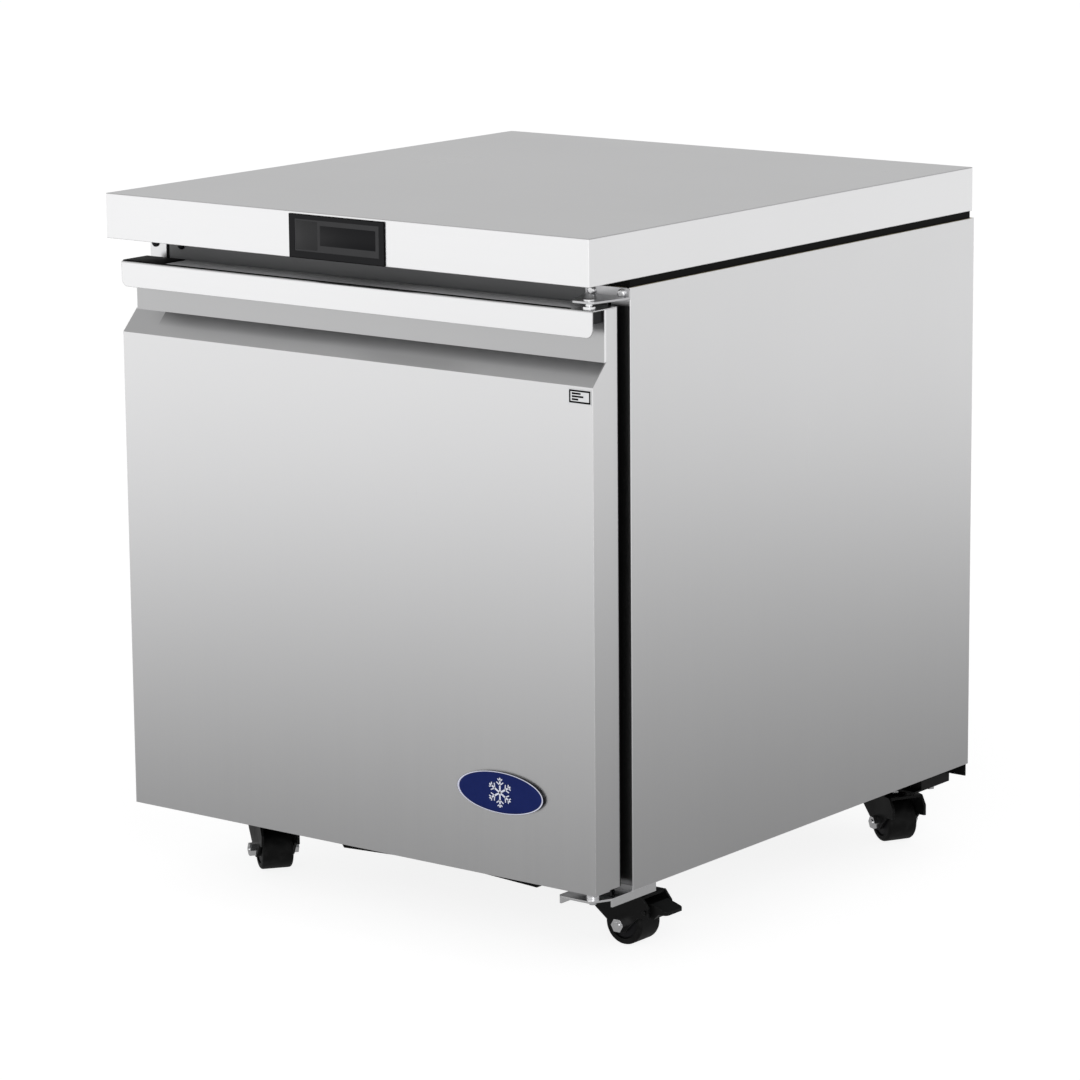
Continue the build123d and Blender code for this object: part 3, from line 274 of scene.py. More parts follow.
def foam(name, colour):
    """Rigid foam with small open cells on its cut faces."""
    made = Shader(name, colour, roughness=0.92)
    cell = made.cells(450.0)
    skin = made.noise(30.0, detail=4.0)
    made.to_colour(made.mixed(skin, shade(colour, 0.84), shade(colour, 1.12)))
    made.to_bump(cell.outputs["Distance"], 0.5, 0.5 * MM)
    return made.material


def embossed_liner():
    """Aluminium liner with a pressed stucco pattern."""
    colour = (0.74, 0.75, 0.76)
    made = Shader("stucco_aluminium", colour, metallic=1.0, roughness=0.34)
    stucco = made.noise(170.0, detail=2.0, seed=1.0)
    made.to_roughness(made.ranged(stucco, 0.3, 0.7, 0.28, 0.4))
    made.to_colour(made.mixed(stucco, shade(colour, 0.92), shade(colour, 1.05)))
    made.to_bump(stucco, 0.5, 0.5 * MM)
    return made.material


def rubber(name, colour, roughness, dust):
    """Black rubber with fine grain; dust greys it in patches."""
    made = Shader(name, colour, roughness=roughness, Specular_IOR_Level=0.12)
    patches = made.noise(120.0, detail=5.0, seed=3.0)
    made.to_colour(made.mixed(made.ranged(patches, 0.45, 0.75, 0.0, dust), colour, (0.05, 0.05, 0.05)))
    made.to_roughness(made.ranged(patches, 0.3, 0.7, roughness - 0.06, roughness + 0.08))
    made.to_bump(made.noise(1500.0, detail=1.0), 0.15, 0.06 * MM, rounding=0.6 * MM)
    return made.material


def copper():
    """Drawn copper tube, dulled in patches."""
    colour = (0.72, 0.36, 0.21)
    made = Shader("drawn_copper", colour, metallic=1.0, roughness=0.3)
    dull = made.noise(70.0, detail=4.0)
    made.to_colour(made.mixed(made.ranged(dull, 0.4, 0.7, 0.0, 1.0), colour, (0.33, 0.16, 0.10)))
    made.to_roughness(made.ranged(dull, 0.3, 0.7, 0.22, 0.45))
    made.to_bump(dull, 0.06, 0.1 * MM)
    return made.material


def coil_fins():
    """Thin aluminium fin stock."""
    colour = (0.66, 0.67, 0.68)
    made = Shader("fin_stock", colour, metallic=1.0, roughness=0.36)
    ripple = made.noise(300.0, detail=3.0)
    made.to_colour(made.mixed(ripple, shade(colour, 0.88), shade(colour, 1.08)))
    made.to_roughness(made.ranged(ripple, 0.3, 0.7, 0.3, 0.44))
    made.to_bump(ripple, 0.1, 0.1 * MM)
    return made.material


def coated_wire():
    """Shelf wire dipped in pale epoxy."""
    colour = (0.70, 0.71, 0.70)
    made = Shader("epoxy_wire", colour, roughness=0.3, Coat_Weight=0.4)
    runs = made.noise(160.0, detail=2.0)
    made.to_colour(made.mixed(runs, shade(colour, 0.92), shade(colour, 1.05)))
    made.to_roughness(made.ranged(runs, 0.3, 0.7, 0.24, 0.4))
    made.to_bump(runs, 0.12, 0.15 * MM)
    return made.material


def badge_enamel():
    """Blue enamel, pale rim and a black side wall painted as shadow, split by the distance from the
    oval's centre.
    """
    blue, rim = (0.005, 0.012, 0.085), (0.60, 0.61, 0.72)
    made = Shader("badge_enamel", blue, roughness=0.25, Specular_IOR_Level=0.12)
    low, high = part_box("door_badge")
    centre, half = (low + high) / 2, (high - low) / 2
    place = made.node("ShaderNodeTexCoord")
    shift = made.node("ShaderNodeMapping", vector_type="TEXTURE")
    shift.inputs["Location"].default_value = (centre.x, 0.0, centre.z)
    shift.inputs["Scale"].default_value = (half.x, 1000.0, half.z)
    made.link(place.outputs["Object"], shift.inputs["Vector"])
    length = made.node("ShaderNodeVectorMath", operation="LENGTH")
    made.link(shift.outputs["Vector"], length.inputs[0])
    share = made.ranged(length.outputs["Value"], 0.953, 0.967, 0.0, 1.0)
    # Painted shadow: the outermost band, the badge's side wall, goes black.
    wall_shade = made.ranged(length.outputs["Value"], 0.990, 0.996, 0.0, 1.0)
    depth = made.noise(80.0, detail=3.0)
    enamel = made.mixed(depth, shade(blue, 0.85), shade(blue, 1.2))
    face = made.mixed(share, enamel, rim)
    made.to_colour(made.mixed(wall_shade, face, (0.004, 0.004, 0.006)))
    made.to_roughness(made.ranged(depth, 0.3, 0.7, 0.16, 0.26))
    return made.material


steel = (0.66, 0.66, 0.665)
# Shares of painted shade: on the pull's recess wall, along the crease under it, and on the stiles behind
# the door.
recess_shade_share, crease_shade_share, stile_shade_share = 0.36, 0.60, 0.55
crease_shade_depth = 14 * MM
skin_low, skin_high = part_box("door_skin")
stile_low, stile_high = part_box("side_panel_right")
openings = {row["name"]: row["box_m"] for row in frame["record"]["physics"]["openings"]}
recess_low, recess_high = openings["pull_recess"]
crease_z = recess_low[2] - 1.8 * MM
recess_wall = (
    (skin_low.x + 2 * MM, recess_high[1] + 0.3 * MM, crease_z),
    (skin_high.x - 2 * MM, recess_high[1] + 8 * MM, recess_high[2] + 2 * MM),
)
slant_face = (
    (skin_low.x + 46 * MM, skin_low.y - 1 * MM, crease_z - 23.5 * MM),
    (skin_high.x - 2 * MM, recess_high[1] + 2 * MM, crease_z),
)


def pull_painted_shade(made):
    """Painted shade in the pull's recess: even on its wall and deepest along the crease under it."""
    split = made.node("ShaderNodeSeparateXYZ")
    made.link(made.coords(), split.inputs[0])
    # Painted shade: an even share on the recess wall, and a share that grows towards the crease on the
    # slant below it.
    wall_shade = made.maths("MULTIPLY", inside(made, *recess_wall), recess_shade_share)
    depth = made.ranged(split.outputs["Z"], crease_z - crease_shade_depth, crease_z, 0.0, crease_shade_share)
    return made.maths("ADD", wall_shade, made.maths("MULTIPLY", inside(made, *slant_face), depth))


def stile_painted_shade(made):
    """Painted shade on the front faces of the stiles, where the door covers them."""
    face = stile_low.y
    low = (stile_low.x, face - 1 * MM, skin_low.z)
    high = (stile_high.x - 0.6 * MM, face + 0.4 * MM, skin_high.z)
    return made.maths("MULTIPLY", inside(made, low, high), stile_shade_share)


upright_grain, level_grain = (False, False, True), (True, False, False)
# Side panels and door skin: edges painted lighter as a painted highlight.
upright_steel = brushed("brushed_steel_upright", steel, 0.30, upright_grain, 1.5, stile_painted_shade)
door_steel = brushed("brushed_steel_door", steel, 0.30, upright_grain, 1.25, pull_painted_shade)
# Worktop and pull: the same steel painted 13% lighter as painted light, with edges painted darker as
# painted shade.
level_steel_painted_light = brushed("brushed_steel_level_painted_light", shade(steel, 1.13), 0.30, level_grain, 0.35)
galvanised_sheet = galvanised()
zinc_plate = plated("zinc_plate", (0.70, 0.70, 0.71), 0.24)
chrome_plate = plated("chrome_plate", (0.86, 0.86, 0.87), 0.14)
grey_plate = plated("grey_plate", (0.34, 0.34, 0.35), 0.36)
hinge_plate = plated("hinge_plate", (0.50, 0.50, 0.51), 0.32)
powder_coat = black_paint()
rail_plastic = moulded("grey_rail_plastic", (0.14, 0.142, 0.146), 0.36)
cap_plastic = moulded("grey_cap_plastic", (0.36, 0.36, 0.37), 0.4)
black_plastic = moulded("black_plastic", (0.007, 0.007, 0.008), 0.34, Specular_IOR_Level=0.11)
matt_black = moulded("matt_black_plastic", (0.003, 0.003, 0.003), 0.6, Specular_IOR_Level=0.06)
charcoal_plastic = moulded("charcoal_plastic", (0.008, 0.008, 0.009), 0.55, Specular_IOR_Level=0.12)
white_plastic = moulded("white_plastic", (0.74, 0.75, 0.75), 0.38)
pale_film = moulded("pale_label_film", (0.62, 0.63, 0.64), 0.4, strength=0.04)
pale_enamel = moulded("pale_enamel", (0.62, 0.64, 0.74), 0.28, strength=0.04)
window_glass = display_glass()
rigid_foam = foam("rigid_foam", (0.72, 0.60, 0.34))
white_foam = foam("white_foam_board", (0.70, 0.70, 0.69))
stucco = embossed_liner()
seal_rubber = rubber("seal_rubber", (0.016, 0.016, 0.017), 0.5, dust=0.1)
wheel_rubber = rubber("wheel_rubber", (0.004, 0.004, 0.004), 0.48, dust=0.12)
copper_tube = copper()
fin_stock = coil_fins()
epoxy_wire = coated_wire()
badge_face = badge_enamel()
key_film = moulded("key_film", (0.020, 0.020, 0.021), 0.4, Specular_IOR_Level=0.2)

node_finish = {
    upright_steel: ("side_panel_left", "side_panel_right"),
    door_steel: ("door_skin",),
    level_steel_painted_light: ("worktop", "door_pull"),
    galvanised_sheet: ("back_panel", "bottom_panel", "rear_grille", "tray_rails"),
    zinc_plate: ("m6_bolts", "hinge_pins", "shelf_supports"),
    hinge_plate: ("hinge_bracket_top",),
    chrome_plate: ("hinge_bracket_bottom",),
    powder_coat: ("compressor_base", "compressor", "condenser_fan_motor", "caster_channels"),
    grey_plate: ("caster_plates",),
    rail_plastic: ("breaker_frame", "control_box"),
    matt_black: ("worktop_spacer",),
    black_plastic: (
        "display_bezel",
        "evaporator_fan_motor",
        "evaporator_fan",
        "condenser_fan",
        "cord_gland",
        "hinge_bushes",
        "condensate_tray",
    ),
    white_plastic: ("evaporator_cover", "drain_pan"),
    charcoal_plastic: ("door_liner",),
    pale_film: ("door_label",),
    window_glass: ("display_window",),
    rigid_foam: ("foam_insulation", "door_foam"),
    white_foam: ("worktop_core",),
    stucco: ("inner_liner",),
    seal_rubber: ("door_gasket", "compressor_mounts"),
    copper_tube: ("refrigerant_lines",),
    fin_stock: ("evaporator_coil", "condenser_coil"),
    epoxy_wire: ("shelf_lower", "shelf_upper"),
    badge_face: ("door_badge",),
}
caster_finish = {
    "yoke": powder_coat,
    "wheel": wheel_rubber,
    "axle": chrome_plate,
    "brake_pedal": powder_coat,
}


def finish_nodes():
    """Give every CAD node its material."""
    chosen = {name: material for material, names in node_finish.items() for name in names}
    for name, node in frame["nodes"].items():
        material = chosen.get(name)
        if material is None:
            kind = next(kind for kind in caster_finish if name.startswith(kind + "_"))
            material = caster_finish[kind]
        node.data.materials.clear()
        node.data.materials.append(material)


# ---------------------------------------------------------------- mesh helpers
def piece(name, body, material, mesh, smooth_angle=35.0):
    """Turn a bmesh into a named piece riding on a body."""
    data = bpy.data.meshes.new(name)
    bmesh.ops.recalc_face_normals(mesh, faces=mesh.faces[:])
    mesh.to_mesh(data)
    mesh.free()
    data.materials.append(material)
    made = bpy.data.objects.new(name, data)
    bpy.context.scene.collection.objects.link(made)
    data.shade_smooth()
    data.set_sharp_from_angle(angle=math.radians(smooth_angle))
    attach(made, body)
    return made


def add_box(mesh, low, high, bevel=0.0):
    """Box between two corners with rounded edges."""
    low, high = Vector(low), Vector(high)
    size = high - low
    place = Matrix.Translation((low + high) / 2) @ Matrix.Diagonal((*size, 1.0))
    corners = bmesh.ops.create_cube(mesh, size=1.0, matrix=place)["verts"]
    if bevel:
        edges = list({edge for vertex in corners for edge in vertex.link_edges})
        bmesh.ops.bevel(
            mesh,
            geom=edges,
            offset=bevel,
            segments=2,
            profile=0.5,
            affect="EDGES",
            clamp_overlap=True,
        )


def add_rod(mesh, start, end, radius, segments):
    """Closed cylinder between two points."""
    start, end = Vector(start), Vector(end)
    run = end - start
    place = Matrix.Translation((start + end) / 2) @ run.to_track_quat("Z", "Y").to_matrix().to_4x4()
    bmesh.ops.create_cone(
        mesh,
        cap_ends=True,
        segments=segments,
        radius1=radius,
        radius2=radius,
        depth=run.length,
        matrix=place,
    )


def add_lathe(mesh, origin, axis, profile, segments=40):
    """Turned shape: profile is (distance along the axis, radius), closed on the axis at both ends."""
    axis = Vector(axis).normalized()
    turn = axis.to_track_quat("Z", "Y").to_matrix()
    rings = []
    for along, radius in profile:
        ring = []
        for step in range(segments):
            angle = 2 * math.pi * step / segments
            offset = Vector((radius * math.cos(angle), radius * math.sin(angle), along))
            ring.append(mesh.verts.new(Vector(origin) + turn @ offset))
        rings.append(ring)
    for first, second in zip(rings, rings[1:]):
        for step in range(segments):
            after = (step + 1) % segments
            mesh.faces.new((first[step], first[after], second[after], second[step]))
    mesh.faces.new(rings[0])
    mesh.faces.new(rings[-1])


def add_loop(mesh, centre, axis, radius, wire, segments=48, sides=8):
    """Ring of round wire."""
    turn = Vector(axis).to_track_quat("Z", "Y").to_matrix()
    rings = []
    for step in range(segments):
        angle = 2 * math.pi * step / segments
        out = Vector((math.cos(angle), math.sin(angle), 0.0))
        ring = []
        for side in range(sides):
            tilt = 2 * math.pi * side / sides
            offset = out * (radius + wire * math.cos(tilt)) + Vector((0, 0, wire * math.sin(tilt)))
            ring.append(mesh.verts.new(Vector(centre) + turn @ offset))
        rings.append(ring)
    for step in range(segments):
        first, second = rings[step], rings[(step + 1) % segments]
        for side in range(sides):
            after = (side + 1) % sides
            mesh.faces.new((first[side], first[after], second[after], second[side]))


def add_outline(mesh, low, high, front, depth, width):
    """Flat frame round a box's front face."""
    back = front + depth
    for z0, z1 in ((low.z, low.z + width), (high.z - width, high.z)):
        add_box(mesh, (low.x, front, z0), (high.x, back, z1), 0.1 * MM)
    for x0, x1 in ((low.x, low.x + width), (high.x - width, high.x)):
        add_box(mesh, (x0, front, low.z + width), (x1, back, high.z - width), 0.1 * MM)


def add_screw(mesh, seat, axis, radius=4.0 * MM, height=1.6 * MM):
    """Domed cross-head screw standing on a surface, with its recess as a small sunk socket."""
    profile = [(0.0, radius), (0.35 * height, radius), (0.8 * height, 0.72 * radius)]
    profile += [(height, 0.4 * radius), (0.45 * height, 0.28 * radius)]
    add_lathe(mesh, seat, axis, profile, segments=24)


# ---------------------------------------------------------------- cabinet details
pull_low, pull_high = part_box("door_pull")
breaker_low, breaker_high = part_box("breaker_frame")
bezel_low, bezel_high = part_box("display_bezel")
back_low, back_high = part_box("back_panel")
grille_low, grille_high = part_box("rear_grille")
cabinet_face = breaker_low.y
stile_width = 25.5 * MM
spare_hole_x = (-299.7 * MM, -340.0 * MM)
hub_offset = 16 * MM


def groove_shade_strips():
    """Matt black strips down in the grooves between the steel stiles and the plastic frame, standing as
    painted shade in the grooves.
    """
    mesh = bmesh.new()
    inner, outer = breaker_high.x + 0.2 * MM, stile_high.x - stile_width - 0.2 * MM
    for side in (-1, 1):
        # Painted shade: the black strips darken the grooves.
        x0, x1 = sorted((side * inner, side * outer))
        low = (x0, cabinet_face + 0.6 * MM, stile_low.z + 3 * MM)
        add_box(mesh, low, (x1, cabinet_face + 3.5 * MM, stile_high.z - 0.5 * MM), 0.8 * MM)
    piece("groove_shade_strips", "cabinet", matt_black, mesh)


def spare_hinge_plugs():
    """Plugs in the left-hand hinge's unused holes."""
    mesh = bmesh.new()
    _, bracket_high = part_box("hinge_bracket_top")
    height = 3.7 * MM
    for x in spare_hole_x:
        seat = (x, cabinet_face, bracket_high.z - height)
        profile = [(0.0, 5.4 * MM), (1.2 * MM, 5.4 * MM), (2.4 * MM, 4.4 * MM), (3.0 * MM, 2.2 * MM)]
        add_lathe(mesh, seat, -ALONG_Y, profile, segments=28)
    piece("spare_hinge_plugs", "cabinet", black_plastic, mesh)


def display_details():
    """Dark outline round the bezel, and the unlit readout with its key zone in the window."""
    low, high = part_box("display_window")
    front = low.y - 0.12 * MM
    mesh = bmesh.new()
    add_outline(mesh, bezel_low, bezel_high, bezel_low.y - 0.1 * MM, 1.3 * MM, 0.9 * MM)
    piece("display_outline", "cabinet", matt_black, mesh)
    width, tall = high.x - low.x, high.z - low.z
    mesh = bmesh.new()
    key_right = low.x + 0.27 * width
    key_low = (low.x + 2 * MM, front, low.z + 2 * MM)
    add_box(mesh, key_low, (key_right, low.y + 0.2 * MM, high.z - 2 * MM), 0.1 * MM)
    piece("display_keys", "cabinet", key_film, mesh)
    mesh = bmesh.new()
    readout_low = (key_right + 4 * MM, front, low.z + 0.22 * tall)
    add_box(mesh, readout_low, (high.x - 5 * MM, low.y + 0.2 * MM, high.z - 0.16 * tall), 0.1 * MM)
    piece("display_lens", "cabinet", black_plastic, mesh)


def fan_guard():
    """Wire guard over the evaporator fan's opening."""
    mesh = bmesh.new()
    low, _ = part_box("evaporator_cover")
    hub = joints["evaporator_fan_spin"]["pos_m"]
    y = low.y - 1.4 * MM
    for radius in (14, 24, 34, 44, 54, 64):
        add_loop(mesh, (hub[0], y, hub[2]), ALONG_Y, radius * MM, 0.9 * MM)
    for step in range(8):
        angle = math.pi * step / 4 + math.pi / 8
        out = Vector((math.cos(angle), 0, math.sin(angle)))
        centre = Vector((hub[0], y + 1.2 * MM, hub[2]))
        add_rod(mesh, centre + out * 13 * MM, centre + out * 66 * MM, 0.9 * MM, segments=10)
    piece("fan_guard", "cabinet", epoxy_wire, mesh)


def finned_block(name, node, pitch, tube_rows, bend):
    """Fin stack with tubes through it, in place of a plain coil block; bend is kept free at each end."""
    low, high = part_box(node)
    x0, x1 = low.x + bend, high.x - bend
    mesh = bmesh.new()
    count = int((x1 - x0) / pitch)
    for index in range(count + 1):
        x = x0 + (x1 - x0) * index / count
        half = 0.12 * MM if 0 < index < count else 0.9 * MM
        fin_low = (x - half, low.y + 1 * MM, low.z + 1 * MM)
        add_box(mesh, fin_low, (x + half, high.y - 1 * MM, high.z - 1 * MM))
    fins = piece(name, "cabinet", fin_stock, mesh)
    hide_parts(node)
    mesh = bmesh.new()
    rise = (high.z - low.z) / tube_rows
    for row in range(tube_rows):
        z = low.z + rise * (row + 0.5)
        for y in (low.y + (high.y - low.y) * 0.3, low.y + (high.y - low.y) * 0.7):
            add_rod(mesh, (x0 - 3 * MM, y, z), (x1 + 3 * MM, y, z), 4 * MM, segments=16)
    for row in range(tube_rows):
        z = low.z + rise * (row + 0.5)
        y_mid = low.y + (high.y - low.y) * 0.5
        for x in (x0 - 3 * MM, x1 + 3 * MM):
            add_loop(mesh, (x, y_mid, z), ALONG_X, (high.y - low.y) * 0.2, 4 * MM, segments=28, sides=10)
    piece(name.replace("fins", "tubes"), "cabinet", copper_tube, mesh)


def rear_screws():
    """Screws round the back panel and the grille, and the dark seam between the two sheets."""
    mesh = bmesh.new()
    sheet_back = back_high.y
    seam_low = (grille_low.x, sheet_back - 0.4 * MM, grille_high.z - 0.7 * MM)
    add_box(mesh, seam_low, (grille_high.x, sheet_back + 0.15 * MM, grille_high.z + 0.7 * MM))
    piece("rear_seam", "cabinet", matt_black, mesh)
    mesh = bmesh.new()
    inset, proud = 12 * MM, 1.2 * MM
    columns = [back_low.x + inset, 0.0, back_high.x - inset]
    rows = [back_high.z - inset, (back_low.z + back_high.z) / 2, back_low.z + inset]
    rows += [grille_high.z - inset, grille_low.z + inset]
    for z in rows:
        for x in columns:
            add_screw(mesh, (x, sheet_back, z), ALONG_Y, radius=4.5 * MM, height=proud)
    piece("rear_screws", "cabinet", zinc_plate, mesh)


def liner_screws():
    """Screws holding the shelf uprights and the fan cover."""
    mesh = bmesh.new()
    low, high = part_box("shelf_supports")
    inner = high.x - 3.5 * MM
    for y in (-250 * MM, 90 * MM):
        for z in (low.z + 7 * MM, high.z - 7 * MM):
            add_screw(mesh, (inner, y, z), -ALONG_X, radius=3.2 * MM, height=1.4 * MM)
            add_screw(mesh, (-inner, y, z), ALONG_X, radius=3.2 * MM, height=1.4 * MM)
    cover_low, cover_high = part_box("evaporator_cover")
    for x in (cover_low.x + 16 * MM, cover_high.x - 16 * MM):
        for z in (cover_low.z + 16 * MM, cover_high.z - 16 * MM):
            add_screw(mesh, (x, cover_low.y, z), -ALONG_Y)
    piece("liner_screws", "cabinet", zinc_plate, mesh)


def tray_beads():
    """Tapered beads along the front edge of the tray's underside."""
    mesh = bmesh.new()
    low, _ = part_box("condensate_tray")
    outer, inner = low.x + 9 * MM, low.x + 116 * MM
    outline = [
        (outer - 1 * MM, low.z + 0.5 * MM),
        (outer + 2 * MM, low.z - 3.4 * MM),
        (inner, low.z + 1.6 * MM),
        (inner, low.z + 3.2 * MM),
    ]
    for side in (-1, 1):
        rings = []
        for y in (low.y + 0.2 * MM, low.y + 9 * MM):
            rings.append([mesh.verts.new((-side * x, y, z)) for x, z in outline])
        mesh.faces.new(rings[0])
        mesh.faces.new(rings[1])
        for index in range(len(outline)):
            after = (index + 1) % len(outline)
            mesh.faces.new((rings[0][index], rings[0][after], rings[1][after], rings[1][index]))
    piece("tray_beads", "tray", matt_black, mesh)


# ---------------------------------------------------------------- door details
def door_top_cap_and_rim_shade():
    """Black bead behind the pull's fold as painted shade under the rim, the grey cap strip behind it and
    the black cap at the left end.
    """
    top = pull_high.z
    front = pull_low.y + 1.6 * MM
    bush_low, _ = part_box("hinge_bushes")
    left, right = pull_low.x + 1 * MM, bush_low.x - 8 * MM
    mesh = bmesh.new()
    # Painted shade: the black bead just behind the fold stands for the shade of the pull's rim.
    add_box(mesh, (left, front, top - 0.3 * MM), (right, front + 3.2 * MM, top + 0.9 * MM), 0.4 * MM)
    cap_high = (left + 60 * MM, pull_high.y - 1 * MM, top + 1.3 * MM)
    add_box(mesh, (left, front, top - 0.3 * MM), cap_high, 0.5 * MM)
    piece("door_top_cap_and_rim_shade", "door", matt_black, mesh)
    mesh = bmesh.new()
    strip_low = (left + 62 * MM, front + 3.4 * MM, top - 0.3 * MM)
    add_box(mesh, strip_low, (right, pull_high.y - 1 * MM, top + 0.6 * MM), 0.2 * MM)
    piece("door_top_strip", "door", cap_plastic, mesh)


def badge_emblem():
    """Six-armed frost star on the badge."""
    mesh = bmesh.new()
    low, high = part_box("door_badge")
    centre = (low + high) / 2
    back, front = low.y + 0.3 * MM, low.y + 0.05 * MM
    reach, bar, twig_angle = 17 * MM, 1.1 * MM, math.radians(55)
    to_centre = Matrix.Translation((centre.x, 0, centre.z))
    for step in range(6):
        angle = math.pi * step / 3 + math.pi / 6
        turn = Matrix.Rotation(-angle, 4, "Y")
        arm = bmesh.new()
        add_box(arm, (-0.2 * MM, front, -bar), (reach, back, bar), 0.1 * MM)
        for share, length in ((0.5, 6 * MM), (0.78, 4.2 * MM)):
            for side in (-1, 1):
                twig = bmesh.new()
                add_box(twig, (0, front, -0.7 * MM), (length, back, 0.7 * MM), 0.1 * MM)
                lean = Matrix.Rotation(side * twig_angle, 4, "Y")
                place = Matrix.Translation((share * reach, 0, 0)) @ lean
                bmesh.ops.transform(twig, matrix=place, verts=twig.verts[:])
                merge(arm, twig)
        bmesh.ops.transform(arm, matrix=to_centre @ turn, verts=arm.verts[:])
        merge(mesh, arm)
    piece("badge_emblem", "door", pale_enamel, mesh)


def merge(target, source):
    """Append one bmesh to another."""
    carrier = bpy.data.meshes.new("carrier")
    source.to_mesh(carrier)
    source.free()
    target.from_mesh(carrier)
    bpy.data.meshes.remove(carrier)


def label_print():
    """Dark frame inside a pale margin, and three plain bars, on the small door label."""
    mesh = bmesh.new()
    low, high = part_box("door_label")
    depth = 0.18 * MM
    front = low.y - 0.08 * MM
    margin = Vector((0.9 * MM, 0, 0.9 * MM))
    add_outline(mesh, low + margin, high - margin, front, depth, 2.0 * MM)
    middle = (low.z + high.z) / 2
    left = low.x + 4.6 * MM
    for row, share in ((3.2, 0.55), (0.0, 0.72), (-3.2, 0.4)):
        bar_z = middle + row * MM
        right = left + share * (high.x - low.x - 9 * MM)
        add_box(mesh, (left, front, bar_z - 1.0 * MM), (right, front + depth, bar_z + 1.0 * MM))
    piece("label_print", "door", matt_black, mesh)


# ---------------------------------------------------------------- casters
def caster_details():
    """Hub faces on both sides of each wheel."""
    for name in caster_names:
        roll = joints[f"roll_{name}"]
        axle = Vector(roll["axis"]).normalized()
        centre = Vector(roll["pos_m"])
        mesh = bmesh.new()
        for side in (-1, 1):
            profile = [(0.0, 17.4 * MM), (0.9 * MM, 17.4 * MM)]
            profile += [(1.8 * MM, 15.6 * MM), (1.8 * MM, 9.2 * MM)]
            add_lathe(mesh, centre + axle * side * hub_offset, axle * side, profile, segments=48)
        piece(f"hub_{name}", f"roller_{name}", black_plastic, mesh)


# ---------------------------------------------------------------- stage
floor_half, floor_emission = 400.0, 0.86
reflector_half, reflector_drop = 30.0, 2 * MM
near_glow, glow_gain, glow_power, far_glow, rear_share = 0.29, 0.128, 1.55, 1.27, 0.84
back_glow, front_glow, overhead_share = 0.72, 1.32, 0.45
lens, sensor_width = 148.0, 36.0
camera_place = (3.1657, -4.10345, 1.4679)
camera_yaw, camera_pitch, camera_roll = 37.78, 11.7, -0.503


def stage():
    """Pale floor, which glossy reflections don't see."""
    floor_mesh = bmesh.new()
    bmesh.ops.create_grid(floor_mesh, x_segments=1, y_segments=1, size=floor_half)
    data = bpy.data.meshes.new("floor")
    floor_mesh.to_mesh(data)
    floor_mesh.free()
    floor = bpy.data.objects.new("floor", data)
    bpy.context.scene.collection.objects.link(floor)
    pale = Shader("pale_floor", (0.25, 0.25, 0.25), roughness=0.9)
    pale.shader.inputs["Emission Color"].default_value = (1, 1, 1, 1)
    pale.shader.inputs["Emission Strength"].default_value = floor_emission
    pale.to_colour(pale.mixed(pale.noise(2.0), (0.24, 0.24, 0.24), (0.26, 0.26, 0.26)))
    data.materials.append(pale.material)
    floor.visible_glossy = False


def reflector():
    """Sheet that only reflections see: dim by the object, brighter far off and in front."""
    mesh = bmesh.new()
    bmesh.ops.create_grid(mesh, x_segments=1, y_segments=1, size=reflector_half)
    data = bpy.data.meshes.new("reflector")
    mesh.to_mesh(data)
    mesh.free()
    sheet = bpy.data.objects.new("reflector", data)
    sheet.location.z = -reflector_drop
    bpy.context.scene.collection.objects.link(sheet)
    made = Shader("reflector_gradient", (0, 0, 0), roughness=1.0)
    length = made.node("ShaderNodeVectorMath", operation="LENGTH")
    made.link(made.coords(), length.inputs[0])
    rise = made.maths("POWER", length.outputs["Value"], glow_power)
    glow = made.maths("MINIMUM", made.maths("MULTIPLY_ADD", rise, glow_gain, near_glow), far_glow)
    split = made.node("ShaderNodeSeparateXYZ")
    made.link(made.coords(), split.inputs[0])
    share = made.ranged(split.outputs["Y"], -0.3, 1.6, 1.0, rear_share)
    glow = made.maths("MULTIPLY", glow, share)
    made.shader.inputs["Emission Color"].default_value = (1, 1, 1, 1)
    made.link(glow, made.shader.inputs["Emission Strength"])
    data.materials.append(made.material)
    for flag in ("visible_camera", "visible_diffuse", "visible_shadow", "visible_transmission"):
        setattr(sheet, flag, False)


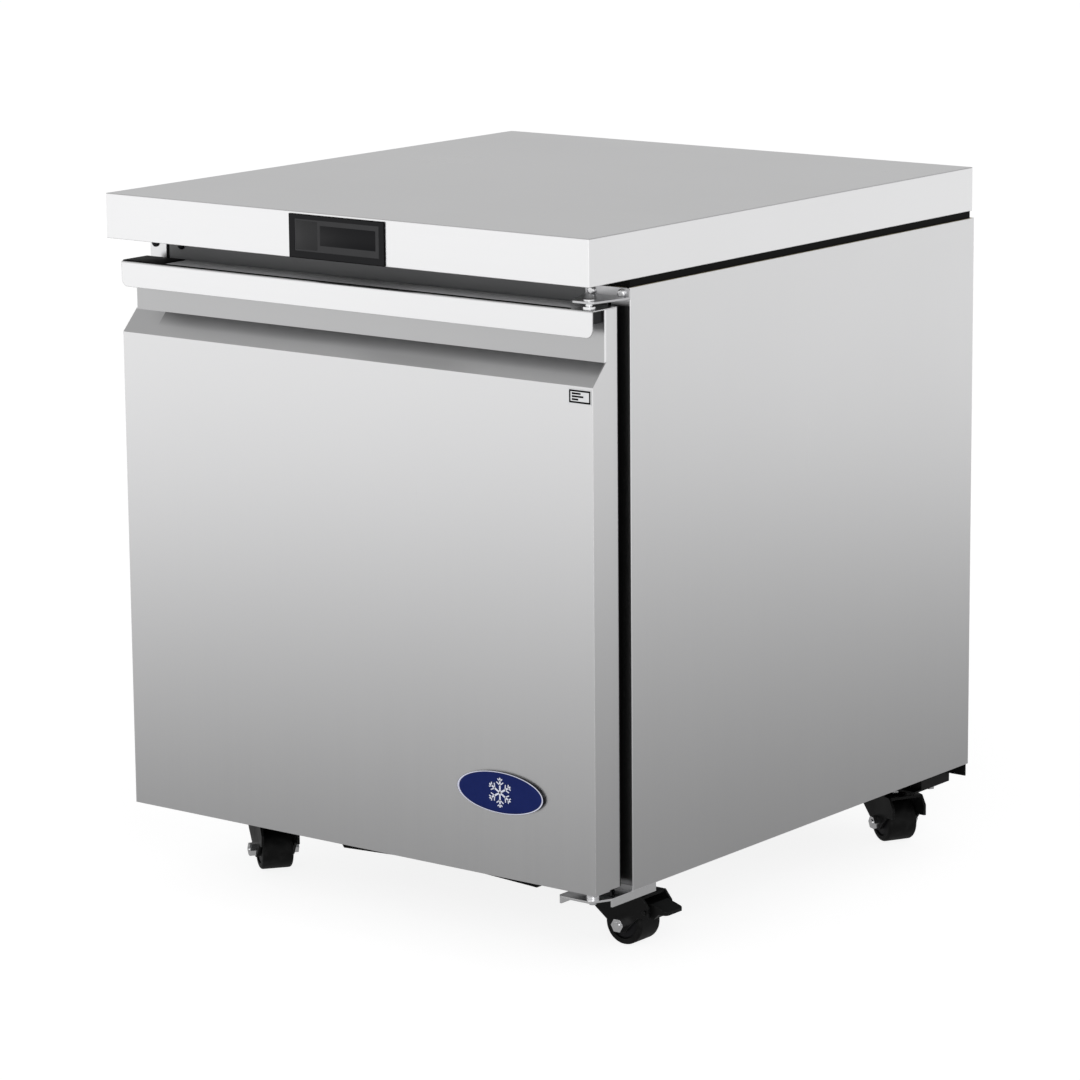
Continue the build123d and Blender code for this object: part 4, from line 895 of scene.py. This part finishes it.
def world():
    """Soft all-round light: brightest low in front, dimmer behind and overhead."""
    made = bpy.data.worlds.new("studio")
    bpy.context.scene.world = made
    made.use_nodes = True
    tree = made.node_tree
    background = tree.nodes["Background"]
    background.inputs["Color"].default_value = (1, 1, 1, 1)
    place = tree.nodes.new("ShaderNodeTexCoord")
    split = tree.nodes.new("ShaderNodeSeparateXYZ")
    tree.links.new(place.outputs["Generated"], split.inputs[0])

    def slope(axis, towards, start, end):
        """Value that goes from start, across the direction, to end along it."""
        span = tree.nodes.new("ShaderNodeMapRange")
        limits = {"From Min": 0.0, "From Max": towards, "To Min": start, "To Max": end}
        for socket, value in limits.items():
            span.inputs[socket].default_value = value
        tree.links.new(split.outputs[axis], span.inputs["Value"])
        return span.outputs["Result"]

    total = tree.nodes.new("ShaderNodeMath")
    total.operation = "MULTIPLY"
    tree.links.new(slope("Y", -1.0, back_glow, front_glow), total.inputs[0])
    tree.links.new(slope("Z", 1.0, 1.0, overhead_share), total.inputs[1])
    tree.links.new(total.outputs["Value"], background.inputs["Strength"])


def softbox(name, place, aim, size, power):
    data = bpy.data.lights.new(name, "AREA")
    data.shape = "RECTANGLE"
    data.size, data.size_y = size
    data.energy = power
    light = bpy.data.objects.new(name, data)
    light.location = place
    light.rotation_euler = (Vector(aim) - Vector(place)).to_track_quat("-Z", "Y").to_euler()
    light.visible_camera = False
    bpy.context.scene.collection.objects.link(light)


def camera():
    """Camera of the photograph: 148 mm lens at the front right, looking left and slightly down."""
    data = bpy.data.cameras.new("camera")
    data.lens = lens
    data.sensor_width = sensor_width
    made = bpy.data.objects.new("camera", data)
    bpy.context.scene.collection.objects.link(made)
    yaw, pitch, roll = (math.radians(angle) for angle in (camera_yaw, camera_pitch, camera_roll))
    level = Vector((-math.sin(yaw), math.cos(yaw), 0.0))
    forward = level * math.cos(pitch) - Vector((0.0, 0.0, math.sin(pitch)))
    right = Vector((math.cos(yaw), math.sin(yaw), 0.0))
    up = right.cross(forward)
    tilted_right = right * math.cos(roll) + up * math.sin(roll)
    tilted_up = up * math.cos(roll) - right * math.sin(roll)
    turn = Matrix((tilted_right, tilted_up, -forward)).transposed()
    made.matrix_world = Matrix.Translation(camera_place) @ turn.to_4x4()
    bpy.context.scene.camera = made


finish_nodes()
groove_shade_strips()
spare_hinge_plugs()
display_details()
fan_guard()
finned_block("evaporator_fins", "evaporator_coil", 4.0 * MM, 4, 16 * MM)
finned_block("condenser_fins", "condenser_coil", 3.0 * MM, 5, 17 * MM)
rear_screws()
liner_screws()
tray_beads()
door_top_cap_and_rim_shade()
badge_emblem()
label_print()
caster_details()
stage()
reflector()
world()
softbox("front_right", (2.4, -2.6, 1.9), (0, 0, 0.3), (1.2, 1.6), 26)
camera()
bpy.context.scene.view_settings.view_transform = "Standard"
